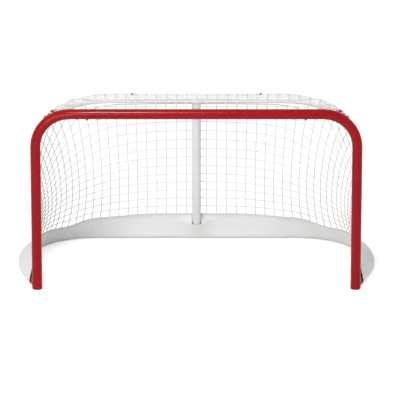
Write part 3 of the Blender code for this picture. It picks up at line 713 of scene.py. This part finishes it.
def tubes(lines, normals, radius, sides, closed=False):
    lines, normals = np.asarray(lines), np.asarray(normals)
    count, length = lines.shape[:2]
    if closed:
        tangents = np.roll(lines, -1, axis=1) - np.roll(lines, 1, axis=1)
    else:
        tangents = np.gradient(lines, axis=1)
    tangents = unitRows(tangents)
    across = unitRows(np.cross(tangents, normals))
    normals = np.cross(across, tangents)
    radius = np.broadcast_to(np.asarray(radius, float), (count, length))
    points = lines[:, :, None] + circling(sides, normals, across) * radius[:, :, None, None]
    marks = marksAlong(lines)
    steps = np.diff(marks, axis=1)
    rings = length if closed else length - 1
    start = np.arange(count)[:, None, None] * length * sides
    ring = np.arange(rings)[None, :, None]
    side = np.arange(sides)[None, None, :]
    turn = (side + 1) % sides
    near = start + ring * sides
    far = start + (ring + 1) % length * sides
    corners = np.broadcast_arrays(near + side, near + turn, far + turn, far + side)
    faces = np.stack(corners, -1).reshape(-1, 4).tolist()
    low = np.broadcast_to(marks[:, :rings, None], (count, rings, sides))
    high = low + np.concatenate([steps, steps[:, :1]], axis=1)[:, :rings, None]
    left = np.broadcast_to(np.arange(sides) / sides, low.shape)
    right = left + 1 / sides
    uv = np.stack([left, low, right, low, right, high, left, high], -1).reshape(-1, 2).tolist()
    if not closed:
        for i in range(count):
            base = i * length * sides
            faces.append(list(range(base + sides - 1, base - 1, -1)))
            faces.append(list(range(base + (length - 1) * sides, base + length * sides)))
            uv += [(k / sides, 0.0) for k in range(2 * sides)]
    return points.reshape(-1, 3), faces, uv


def lumps(centres, axes, radii, sides, rings):
    turns = 2 * math.pi * np.arange(sides) / sides
    unit = [(0, 0, 1)]
    for tilt in math.pi * np.arange(1, rings) / rings:
        wide = math.sin(tilt)
        unit += [(wide * math.cos(turn), wide * math.sin(turn), math.cos(tilt)) for turn in turns]
    unit.append((0, 0, -1))
    unit = np.array(unit) * np.array(radii)
    points = centres[:, None] + np.einsum("pk,nkc->npc", unit, axes)
    size = len(unit)
    last = size - 1 - sides
    faces = []
    for k in range(sides):
        ahead = (k + 1) % sides
        faces.append((0, 1 + k, 1 + ahead))
        faces.append((size - 1, last + ahead, last + k))
        for low in range(1, last, sides):
            faces.append((low + k, low + sides + k, low + sides + ahead, low + ahead))
    corners = sum(len(face) for face in faces)
    whole = [[i + n * size for i in face] for n in range(len(centres)) for face in faces]
    return points.reshape(-1, 3), whole, [(0.0, 0.0)] * (corners * len(centres))


def gathered(shapes):
    points, faces, uv = [], [], []
    shift = 0
    for somePoints, someFaces, someUv in shapes:
        points.append(somePoints)
        faces += [[i + shift for i in face] for face in someFaces]
        uv += list(someUv)
        shift += len(somePoints)
    return np.concatenate(points), faces, uv


# Skirt: one strip of coated vinyl, folded round the base tube and sewn up into a hem

skirt = {
    "sheet": 0.0009,
    "start": 0.030,  # post to the strip's end
    "station": 0.0075,
    "band": 0.067,  # base tube's centre up to the hem's top
    "sleeve": 0.0156,  # radius round the tube, to the middle of the sheet
    "sleeveSteps": 18,
    "outerRows": (0.76, 0.64, 0.52, 0.40, 0.28, 0.14, 0.0),  # shares of the band
    "innerRows": (0.015, 0.022, 0.029, 0.036, 0.043),  # over the base tube's centre
    "hem": 0.009,
    "hemInside": 0.0132,  # how far out the inner layer stands in the hem
    "hemSwell": 0.0002,  # between the two rows of stitches
    "hemLap": 1.3,  # sheet thicknesses from layer to layer at the hem's top
    # leans at the start and the widest place, and at the start, middle and end of the corner
    "leans": (12.0, 40.0, 56.0, 65.0, 46.0),
    "settle": 0.170,  # past the corner, where it leans as the centre post does
    "soften": 0.045,  # length over which the changes of lean are smoothed
    "softenSteps": 9,
    "slotHalf": 0.0132,  # the inner layer is open here, round the centre post
    "slotLow": 0.050,
    "slotLip": 0.054,
    "bulge": 0.0140,  # how far the inner layer stands in front of the centre post
    "bulgeWidth": 0.034,
    "bulgeRows": 3,  # rows of the sleeve that bulge too
    "bulgeFade": (0.62, 0.12),  # shares of the bulge in the rows over the slot's lower edge
    # soft waves: radians per metre along and up the strip, phase, share
    "waves": ((21.0, 31.0, 0.0, 0.5), (47.0, -58.0, 1.3, 0.3), (83.0, 96.0, 0.4, 0.2)),
    "sag": 0.0008,
    "outerSag": 0.7,  # how much of it the outer layer has
    "edgeFade": 0.02,
    "floorGap": 0.0003,
    "sharpTurn": 50.0,
}

creases = (
    # place along the strip from the middle, height in the strip, turn, length, width, depth
    (0.215, 0.030, 128.0, 0.034, 0.0060, 0.0040),
    (0.248, 0.036, 142.0, 0.036, 0.0055, 0.0034),
    (-0.340, 0.036, 40.0, 0.034, 0.0060, 0.0036),
    (-0.312, 0.030, 58.0, 0.030, 0.0055, 0.0026),
    (0.400, 0.034, 50.0, 0.040, 0.0060, 0.0028),
    (-0.470, 0.036, -40.0, 0.042, 0.0050, 0.0018),
    (-0.120, 0.040, 25.0, 0.030, 0.0050, 0.0012),
    (0.090, 0.038, -28.0, 0.030, 0.0050, 0.0012),
    (0.610, 0.034, 60.0, 0.038, 0.0050, 0.0016),
    (-0.640, 0.034, -58.0, 0.038, 0.0050, 0.0016),
)


def leanAt(distance, look):
    middle = (cornerStart + cornerEnd) / 2
    places = (look["start"], flareEnd, cornerStart, middle, cornerEnd, cornerEnd + look["settle"])
    leans = look["leans"] + (postLean,)
    total = 0
    shifts = np.linspace(-1, 1, look["softenSteps"]) * look["soften"]
    for shift in shifts:
        at = np.asarray(distance) + shift
        lean = np.full(np.shape(at), leans[0])
        for a, b, low, high in zip(places, places[1:], leans, leans[1:]):
            lean = np.where(at > a, low + (high - low) * eased((at - a) / (b - a)), lean)
        total = total + lean
    return np.radians(total / len(shifts))


def section(distance, up, out, look):
    point, outward = baseRail.at(distance)
    lean = leanAt(distance, look)[..., None]
    along = upward * np.cos(lean) - outward * np.sin(lean)
    square = outward * np.cos(lean) + upward * np.sin(lean)
    return point + along * up + square * out


def skirtProfile(look):
    radius, band, hem = look["sleeve"], look["band"], look["hem"]
    inside, swell = look["hemInside"], look["hemSwell"]
    outer = [(band, radius), (band - hem / 2, radius + swell), (band - hem, radius)]
    outer += [(band * share, radius) for share in look["outerRows"]]
    reach = math.hypot(band - hem, inside)
    last = math.pi + math.asin(radius / reach) + math.atan2(inside, band - hem)
    turns = [last * i / look["sleeveSteps"] for i in range(1, look["sleeveSteps"] + 1)]
    circle = [(-math.sin(turn) * radius, math.cos(turn) * radius) for turn in turns]
    lowUp, lowOut = circle[-1]
    inner = []
    for up in (*look["innerRows"], look["slotLow"], look["slotLip"]):
        share = (up - lowUp) / (band - hem - lowUp)
        inner.append((up, lowOut + (inside - lowOut) * share))
    inner += [(band - hem, inside), (band - hem / 2, inside - swell)]
    inner.append((band, radius - look["sheet"] * look["hemLap"]))
    firstInner = len(outer) + len(circle)
    slotRow = firstInner + len(look["innerRows"])
    return np.array(outer + circle + inner), firstInner, slotRow


def skirtStations(look):
    half = baseRail.length
    count = round((half - look["slotHalf"] - look["start"]) / look["station"])
    left = np.linspace(look["start"], half - look["slotHalf"], count + 1)
    middle = np.linspace(half - look["slotHalf"], half, 4)[1:]
    return np.concatenate([left, middle])


def waveDepth(place, height, look):
    total = 0
    for along, up, phase, share in look["waves"]:
        total = total + np.sin(place * along + height * up + phase) * share
    return look["sag"] * total


def creaseDepth(place, height):
    depth = np.zeros(np.broadcast(place, height).shape)
    for middle, level, turn, length, width, size in creases:
        angle = math.radians(turn)
        x, y = place - middle, height - level
        along = x * math.cos(angle) + y * math.sin(angle)
        across = -x * math.sin(angle) + y * math.cos(angle)
        depth += size * np.exp(-(across / width) ** 2 - (along / length) ** 2)
    return depth


def skirtSurface(look):
    profile, firstInner, slotRow = skirtProfile(look)
    left = skirtStations(look)
    half = baseRail.length
    distances = np.concatenate([left, left[-2::-1]])
    right = np.arange(len(distances)) >= len(left)
    place = np.where(right, half - distances, distances - half)
    ups = np.broadcast_to(profile[:, 0], (len(distances), len(profile))).copy()
    outs = np.broadcast_to(profile[:, 1], ups.shape).copy()
    near = np.exp(-(place / look["bulgeWidth"]) ** 2)[:, None]
    share = np.zeros(len(profile))
    share[firstInner - look["bulgeRows"]:slotRow + 1] = 1
    share[slotRow + 1:slotRow + 1 + len(look["bulgeFade"])] = look["bulgeFade"]
    pushed = np.minimum(outs, -look["bulge"])
    outs += (pushed - outs) * near * share
    fade = look["edgeFade"]
    edge = np.minimum(1, (look["band"] - ups) / fade) * np.minimum(1, np.abs(ups) / fade)
    edge = np.clip(edge, 0, 1) * (ups > 0)
    depth = waveDepth(place[:, None], ups, look) + creaseDepth(place[:, None], ups)
    inside = np.arange(len(profile)) >= firstInner
    outs += np.where(inside, -np.abs(depth), np.abs(depth) * look["outerSag"]) * edge
    rows = [section(distances, ups[:, k:k + 1], outs[:, k:k + 1], look) for k in range(len(profile))]
    points = np.stack(rows, 1)
    points[right] *= mirror
    points[..., 2] = np.maximum(points[..., 2], look["floorGap"] + look["sheet"] / 2)
    return points, place, slotRow


def makeSkirt(look):
    points, place, slotRow = skirtSurface(look)
    rows, columns = points.shape[:2]
    marks = marksAlong(points)
    faces, uv = [], []
    slot = look["slotHalf"] + 1e-6
    for i in range(rows - 1):
        atSlot = abs(place[i]) < slot and abs(place[i + 1]) < slot
        for k in range(columns - 1):
            if atSlot and k >= slotRow:
                continue
            corners = ((i, k), (i + 1, k), (i + 1, k + 1), (i, k + 1))
            faces.append([a * columns + b for a, b in corners])
            uv += [(place[a], marks[a, b]) for a, b in corners]
    piece = newPiece("skirt", (points.reshape(-1, 3), faces, uv), "skirt_vinyl")
    solid = piece.modifiers.new("sheet", "SOLIDIFY")
    solid.thickness = look["sheet"]
    solid.offset = 0
    solid.use_even_offset = True
    shown = bpy.context.evaluated_depsgraph_get()
    piece.data = bpy.data.meshes.new_from_object(piece.evaluated_get(shown))
    piece.modifiers.clear()
    piece.data.shade_smooth()
    roundShading(piece.data, look["sharpTurn"])
    return piece, float(marks[:, -1].mean()), float(np.ptp(place))


skirtPiece, skirtWidth, skirtLength = makeSkirt(skirt)
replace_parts(skirtPiece, "left_skirt", "rear_skirt", "right_skirt")
print("skirt folded", round(skirtWidth, 3), "by", round(skirtLength, 3))


# Stitches: two rows of lockstitch along the hem, on both of its faces

stitch = {
    "pitch": 0.0046,
    "first": 0.2,  # pitches to the first stitch
    "length": 0.0034,
    "radius": 0.00042,
    "rise": 0.00035,
    "arch": ((0.0, -1.2), (0.15, 0.5), (0.5, 1.0), (0.85, 0.5), (1.0, -1.2)),  # shares of length and rise
    "sides": 5,
    "fromTop": (0.0025, 0.0075),  # the rows, down from the hem's top
    "slotGap": 0.004,
}


def stitchRow(line, normals, look):
    marks = marksAlong(line)
    starts = (np.arange(int(marks[-1] / look["pitch"])) + look["first"]) * look["pitch"]
    shares, rises = np.array(look["arch"]).T
    places = starts[:, None] + shares * look["length"]
    out = unitRows(readAt(places, marks, normals))
    lift = look["rise"] * rises
    return tubes(readAt(places, marks, line) + out * lift[:, None], out, look["radius"], look["sides"])


def makeStitches(look, cloth):
    outside = skirtStations(cloth)
    inside = outside[outside < baseRail.length - cloth["slotHalf"] - look["slotGap"]]
    half = cloth["sheet"] / 2
    layers = ((outside, cloth["sleeve"] + half, 1), (inside, cloth["hemInside"] - half, -1))
    shapes = []
    for fromTop in look["fromTop"]:
        up = cloth["band"] - fromTop
        for distances, out, way in layers:
            line = section(distances, up, out, cloth)
            normals = (section(distances, up, out + 0.001, cloth) - line) * 1000 * way
            for side in (1, mirror):
                shapes.append(stitchRow(line * side, normals * side, look))
    return newPiece("skirt_stitches", gathered(shapes), "skirt_vinyl", "thread")


stitchPiece = makeStitches(stitch, skirt)
print("hem sewn")


# Edge ropes: three strands laid together, held behind the tubes by the welded pegs. "Reach" runs
# along the frame from the crossbar's middle down the post.

rope = {
    "lay": 0.016,  # length of one whole turn of a strand
    "strand": 0.465,  # a strand's radius as a share of the rope's
    "pointsPerTurn": 10,
    "samples": 120,
    "sides": 7,
    "postFoot": 0.0325,
    "socketGap": 0.0215,
    "taper": 0.55,
    # melted and whipped ends: distance in from the end, and girth as a share of the rope's
    "whip": ((-0.0012, 0.55), (-0.0006, 0.9), (0.0, 1.04), (0.005, 1.04), (0.0056, 0.9)),
    "whipSides": 10,
}


def ropeRanges(look):
    foot = bendX + bendLength + bendHeight - look["postFoot"]
    return socketAt - look["socketGap"] - socketDrift, socketAt + look["socketGap"], foot


def ropeCentre(reach):
    return behindFrame(reach, goal["cornerRadius"])


def layRope(name, centre, look):
    marks = marksAlong(centre)
    count = int(marks[-1] / look["lay"] * look["pointsPerTurn"]) + 2
    places = np.linspace(0, marks[-1], count)
    line = readAt(places, marks, centre)
    tangents = unitRows(np.gradient(line, axis=0))
    across = unitRows(np.cross(tangents, backward))
    square = np.cross(across, tangents)
    strandRadius = goal["ropeRadius"] * look["strand"]
    off = goal["ropeRadius"] - strandRadius
    strands, normals = [], []
    for k in range(3):
        turn = 2 * math.pi * (places / look["lay"] + k / 3)
        spread = np.cos(turn)[:, None] * across + np.sin(turn)[:, None] * square
        strands.append(line + spread * off)
        normals.append(spread)
    taper = np.ones(count)
    taper[[0, -1]] = look["taper"]
    shapes = [tubes(strands, normals, strandRadius * taper, look["sides"])]
    inwards, girths = np.array(look["whip"]).T
    girths = goal["ropeRadius"] * girths
    for end, way in ((0, 1), (-1, -1)):
        inward = unitRows(line[end + way] - line[end])
        whip = line[end] + inward * inwards[:, None]
        whipNormals = np.broadcast_to(square[end], (1, *whip.shape))
        shapes.append(tubes(whip[None], whipNormals, girths[None], look["whipSides"]))
    return newPiece(name, gathered(shapes), "edge_rope")


def makeRopes(look):
    topEnd, sideStart, sideEnd = ropeRanges(look)
    top = ropeCentre(np.linspace(topEnd, 0, look["samples"]))
    top = np.concatenate([top, top[-2::-1] * mirror])
    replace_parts(layRope("top_rope", top, look), "top_edge_rope")
    side = ropeCentre(np.linspace(sideStart, sideEnd, look["samples"]))
    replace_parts(layRope("left_rope", side, look), "left_edge_rope")
    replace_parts(layRope("right_rope", side * mirror, look), "right_edge_rope")


makeRopes(rope)
print("ropes laid")


# Net: knotted cord, laced to the edge rope in front, over the top frame and into the skirt's hem.
# It is solved as a grid of strings, with "fine" points from knot to knot, that are pulled straight
# between the knots and bear on the top frame.

net = {
    "cord": 0.0028,
    "columns": 30,  # in each half
    "rows": 18,
    "fine": 4,
    "rounds": (400, 160),  # of pulling, on the coarse grid and on the fine one
    "crowd": 0.18,  # how much closer the columns stand at the posts' feet
    "rowPull": (0.8, 0.5),  # tension of the rows against the columns', behind and at the posts
    "pullFade": (0.45, 0.4),  # where that begins to change, and over what share of the half
    "topShare": 0.62,  # of the rows, that can meet the top frame
    "nearTop": (0.20, 0.40),  # behind the posts and above the floor, where points can meet it
    "contactTilt": 60.0,  # the side of the top frame that the net bears on
    "overTop": (115.0, 90.0, 60.0, 31.0),  # tilts at which the first net goes round it
    "gap": 0.0001,
    "detour": 0.0165,  # round the top sockets
    "intoHem": 0.005,
    "seamGap": 0.002,
    "seamSamples": 400,
    "cutShort": 0.012,
    "fromSocket": 0.02,
    "knot": (0.0025, 0.0025, 0.0022),
    "knotFaces": (7, 5),
    "sides": 6,
    "rimGirth": 1.25,  # of the doubled cord along the front edge
    "loopGirth": 0.9,  # of the loops round the ropes
    "loopPoints": 12,
    "loopGap": 0.003,
}
cordRadius = net["cord"] / 2


def rimLine(reach, off, look):
    turn = np.clip(reach - bendX, 0, bendLength) / goal["cornerRadius"]
    aside = goal["cornerRadius"] * (turn - socketTurn) + socketDrift
    around = np.sqrt(np.maximum(look["detour"] ** 2 - aside**2, 0))
    return behindFrame(reach, goal["cornerRadius"] + np.maximum(off, around))


def netEdges(fine, look, cloth):
    low = section(np.array(cloth["start"]), cloth["band"], cloth["hemInside"], cloth)[2]
    length = bendX + bendLength + bendHeight - low
    inside = (cloth["sleeve"] + cloth["hemInside"]) / 2
    seam = np.linspace(baseRail.length, cloth["start"] + look["seamGap"], look["seamSamples"])
    line = section(seam, cloth["band"], inside, cloth)
    marks = marksAlong(line)
    share = np.linspace(0, 1, look["columns"] * fine + 1)
    front = rimLine(share * length, goal["ropeRadius"] + cordRadius, look)
    along = (share + look["crowd"] * share * (1 - share)) * marks[-1]
    foot = readAt(along, marks, line)
    toSocket = socketAt - look["cutShort"]
    return front, foot, share * length / toSocket, share * length, np.interp(along, marks, seam)


def firstNet(fine, look, cloth):
    front, foot, share, _, _ = netEdges(fine, look, cloth)
    over = topRail.length - np.clip(share, 0, 1) * (topRail.length - look["fromSocket"])
    point, outward = topRail.at(over)
    shares = np.linspace(0, 1, look["rows"] * fine + 1)
    grid = np.zeros((len(shares), len(front), 3))
    for j in range(len(front)):
        stops = [front[j]]
        if share[j] < 1:
            for tilt in look["overTop"]:
                angle = math.radians(tilt)
                side = outward[j] * math.cos(angle) + upward * math.sin(angle)
                stops.append(point[j] + side * (goal["rearRadius"] + cordRadius))
        stops = np.array(stops + [foot[j]])
        marks = marksAlong(stops)
        grid[:, j] = readAt(shares * marks[-1], marks, stops)
    return grid


def bearOnTop(points, clearance, look):
    behind, above = look["nearTop"]
    near = (points[..., 1] < goal["postY"] + behind) & (points[..., 2] > above)
    spots = points[near]
    line = topRail.points
    steps = np.diff(line, axis=0)
    away = spots[:, None] - line[:-1]
    share = np.clip((away * steps).sum(-1) / (steps * steps).sum(-1), 0, 1)
    away = away - share[..., None] * steps
    nearest = np.linalg.norm(away, axis=-1).argmin(1)
    rows = np.arange(len(spots))
    away, share = away[rows, nearest], share[rows, nearest]
    first = topRail.headings[nearest]
    outward = outwardOf(first + (topRail.headings[nearest + 1] - first) * share)
    lift = math.radians(look["contactTilt"])
    bearing = outward * math.cos(lift) + upward * math.sin(lift)
    across = (away * (upward * math.cos(lift) - outward * math.sin(lift))).sum(-1)
    along = (away * bearing).sum(-1)
    radius = clearance[nearest]
    least = np.sqrt(np.maximum(radius**2 - across**2, 0))
    move = np.where((np.abs(across) < radius) & (along < least), least - along, 0)
    points[near] = spots + bearing * move[:, None]


def pullTaut(grid, fine, rounds, look):
    clearance = np.full(len(topRail.points) - 1, goal["rearRadius"] + cordRadius + look["gap"])
    clearance[0] = goal["socketRadius"] + cordRadius + look["gap"]
    top = int(grid.shape[0] * look["topShare"])
    middle, side = look["rowPull"]
    begin, over = look["pullFade"]
    pull = middle + (side - middle) * eased((np.linspace(0, 1, grid.shape[1]) - begin) / over)
    pull = pull[None, :-1:fine, None]
    for _ in range(rounds):
        columns = grid[:, ::fine]
        rows = grid[::fine]
        before = np.concatenate([rows[:, 1:2] * mirror, rows[:, :-2]], axis=1)
        down = (columns[:-2] + columns[2:]) / 2
        along = (before + rows[:, 1:]) / 2
        knots = (down[fine - 1::fine, :-1] + along[1:-1, ::fine] * pull) / (1 + pull)
        grid[1:-1, :-1:fine] = down[:, :-1]
        grid[fine:-fine:fine, :-1] = along[1:-1]
        grid[fine:-fine:fine, :-1:fine] = knots
        grid[:, 0, 0] = 0
        bearOnTop(grid[1:top, :-1], clearance, look)


def halved(grid):
    for axis in (0, 1):
        grid = np.moveaxis(grid, axis, 0)
        fine = np.zeros((2 * len(grid) - 1,) + grid.shape[1:])
        fine[::2] = grid
        fine[1::2] = (grid[:-1] + grid[1:]) / 2
        grid = np.moveaxis(fine, 0, axis)
    return grid


def solveNet(look, cloth):
    fine = look["fine"]
    coarseRounds, fineRounds = look["rounds"]
    grid = firstNet(fine // 2, look, cloth)
    pullTaut(grid, fine // 2, coarseRounds, look)
    grid = halved(grid)
    front, foot, _, reach, seamAt = netEdges(fine, look, cloth)
    grid[0], grid[-1] = front, foot
    pullTaut(grid, fine, fineRounds, look)
    return grid, reach[::fine], seamAt[::fine]


def between(grid, axis, fine):
    grid = np.moveaxis(grid, axis, 0)
    places = np.linspace(0, len(grid) - 1, (len(grid) - 1) * fine + 1)
    low = np.minimum(places.astype(int), len(grid) - 2)
    share = (places - low)[:, None, None]
    return unitRows(np.moveaxis(grid[low] * (1 - share) + grid[low + 1] * share, 0, axis))


def ropeLoops(reach, look):
    topEnd, sideStart, sideEnd = ropeRanges(rope)
    gap = look["loopGap"]
    keep = (reach < topEnd - gap) | ((reach > sideStart + gap) & (reach < sideEnd - gap))
    reach = reach[keep]
    tangent = unitRows(ropeCentre(reach + 0.001) - ropeCentre(reach - 0.001))
    spread = circling(look["loopPoints"], np.cross(tangent, backward), backward)
    girth = cordRadius * look["loopGirth"]
    rings = ropeCentre(reach)[:, None] + spread * (goal["ropeRadius"] + girth)
    both = np.concatenate([rings, rings[reach > 1e-6] * mirror])
    normals = np.concatenate([spread, spread[reach > 1e-6] * mirror])
    return tubes(both, normals, girth, look["sides"], closed=True)


def makeNet(look, cloth):
    half, reach, seamAt = solveNet(look, cloth)
    grid = np.concatenate([half[:, ::-1], half[:, 1:] * mirror], axis=1)
    fine, sides = look["fine"], look["sides"]
    knots = grid[::fine, ::fine]
    sideways = np.gradient(knots, axis=1)
    normals = unitRows(np.cross(np.gradient(knots, axis=0), sideways) + 1e-9)
    inside = (cloth["sleeve"] + cloth["hemInside"]) / 2
    inHem = section(seamAt, cloth["band"] - look["intoHem"], inside, cloth)
    inHem = np.concatenate([inHem[::-1], inHem[1:] * mirror])
    columns = grid[:, ::fine].transpose(1, 0, 2)
    columns = np.concatenate([columns, inHem[:, None]], axis=1)
    columnNormals = between(normals, 0, fine).transpose(1, 0, 2)
    columnNormals = np.concatenate([columnNormals, columnNormals[:, -1:]], axis=1)
    rows = grid[:-fine:fine]
    rowNormals = between(normals, 1, fine)[:-1]
    facing = normals[1:-1].reshape(-1, 3)
    beside = unitRows(sideways[1:-1].reshape(-1, 3))
    axes = np.stack([beside, np.cross(facing, beside), facing], 1)
    shapes = [
        tubes(columns, columnNormals, cordRadius, sides),
        tubes(rows[1:], rowNormals[1:], cordRadius, sides),
        tubes(rows[:1], rowNormals[:1], cordRadius * look["rimGirth"], sides + 2),
        lumps(knots[1:-1].reshape(-1, 3), axes, look["knot"], *look["knotFaces"]),
        ropeLoops(reach, look),
    ]
    piece = newPiece("cord_net", gathered(shapes), "net_cord")
    return piece, float(marksAlong(rows)[:, -1].max()), float(marksAlong(columns)[:, -1].mean())


netPiece, netWidth, netDepth = makeNet(net, skirt)
netNodes = [part["node"] for part in frame["record"]["subparts"] if part["material_slot"] == "net_cord"]
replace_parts(netPiece, *netNodes)
print("net pulled taut", round(netDepth, 3), "by", round(netWidth, 3))


# Weld beads where the sockets leave the posts

weld = {
    "radius": 0.0016,
    "ripples": 34,
    "ripple": 0.10,
    "points": 96,
    "sides": 7,
    "sink": 0.0004,
    "halvings": 30,  # of the stretch of socket in which the post's surface is looked for
}


def postDistance(points):
    x, y, z = points[..., 0], points[..., 1] - goal["postY"], points[..., 2]
    straight = np.hypot(x + goal["postX"], y)
    bend = np.hypot(np.hypot(x + bendX, z - bendHeight) - goal["cornerRadius"], y)
    return np.where(z < bendHeight, straight, bend)


def weldLine(start, heading, look):
    heading = unitRows(np.array(heading, float))
    across = unitRows(np.cross(heading, upward))
    spread = circling(look["points"], across, np.cross(across, heading))
    ring = np.array(start) + spread * (goal["socketRadius"] - look["sink"])
    low, high = np.zeros(len(ring)), np.full(len(ring), goal["socketReach"])
    for _ in range(look["halvings"]):
        middle = (low + high) / 2
        inside = postDistance(ring + heading * middle[:, None]) < goal["postRadius"] - look["sink"]
        low, high = np.where(inside, middle, low), np.where(inside, high, middle)
    line = ring + heading * high[:, None]
    turns = 2 * math.pi * np.arange(look["points"]) / look["points"]
    girth = look["radius"] * (1 + look["ripple"] * np.sin(turns * look["ripples"]))
    return tubes(line[None], spread[None], girth[None], look["sides"], closed=True)


def makeWelds(look):
    flare = math.radians(goal["baseFlare"])
    x, z = topSocket(goal)
    first, second = topRail.points[:2]
    base = (-goal["postX"], goal["postY"], goal["baseHeight"])
    sockets = (
        ("base", base, (-math.sin(flare), math.cos(flare), 0)),
        ("top", (x, goal["postY"], z), second - first),
    )
    for level, start, heading in sockets:
        points, faces, uv = weldLine(start, heading, look)
        newPiece(f"left_{level}_weld", (points, faces, uv), "red_paint")
        turned = [face[::-1] for face in faces]
        newPiece(f"right_{level}_weld", (points * mirror, turned, uv), "red_paint")


makeWelds(weld)
print("sockets welded")
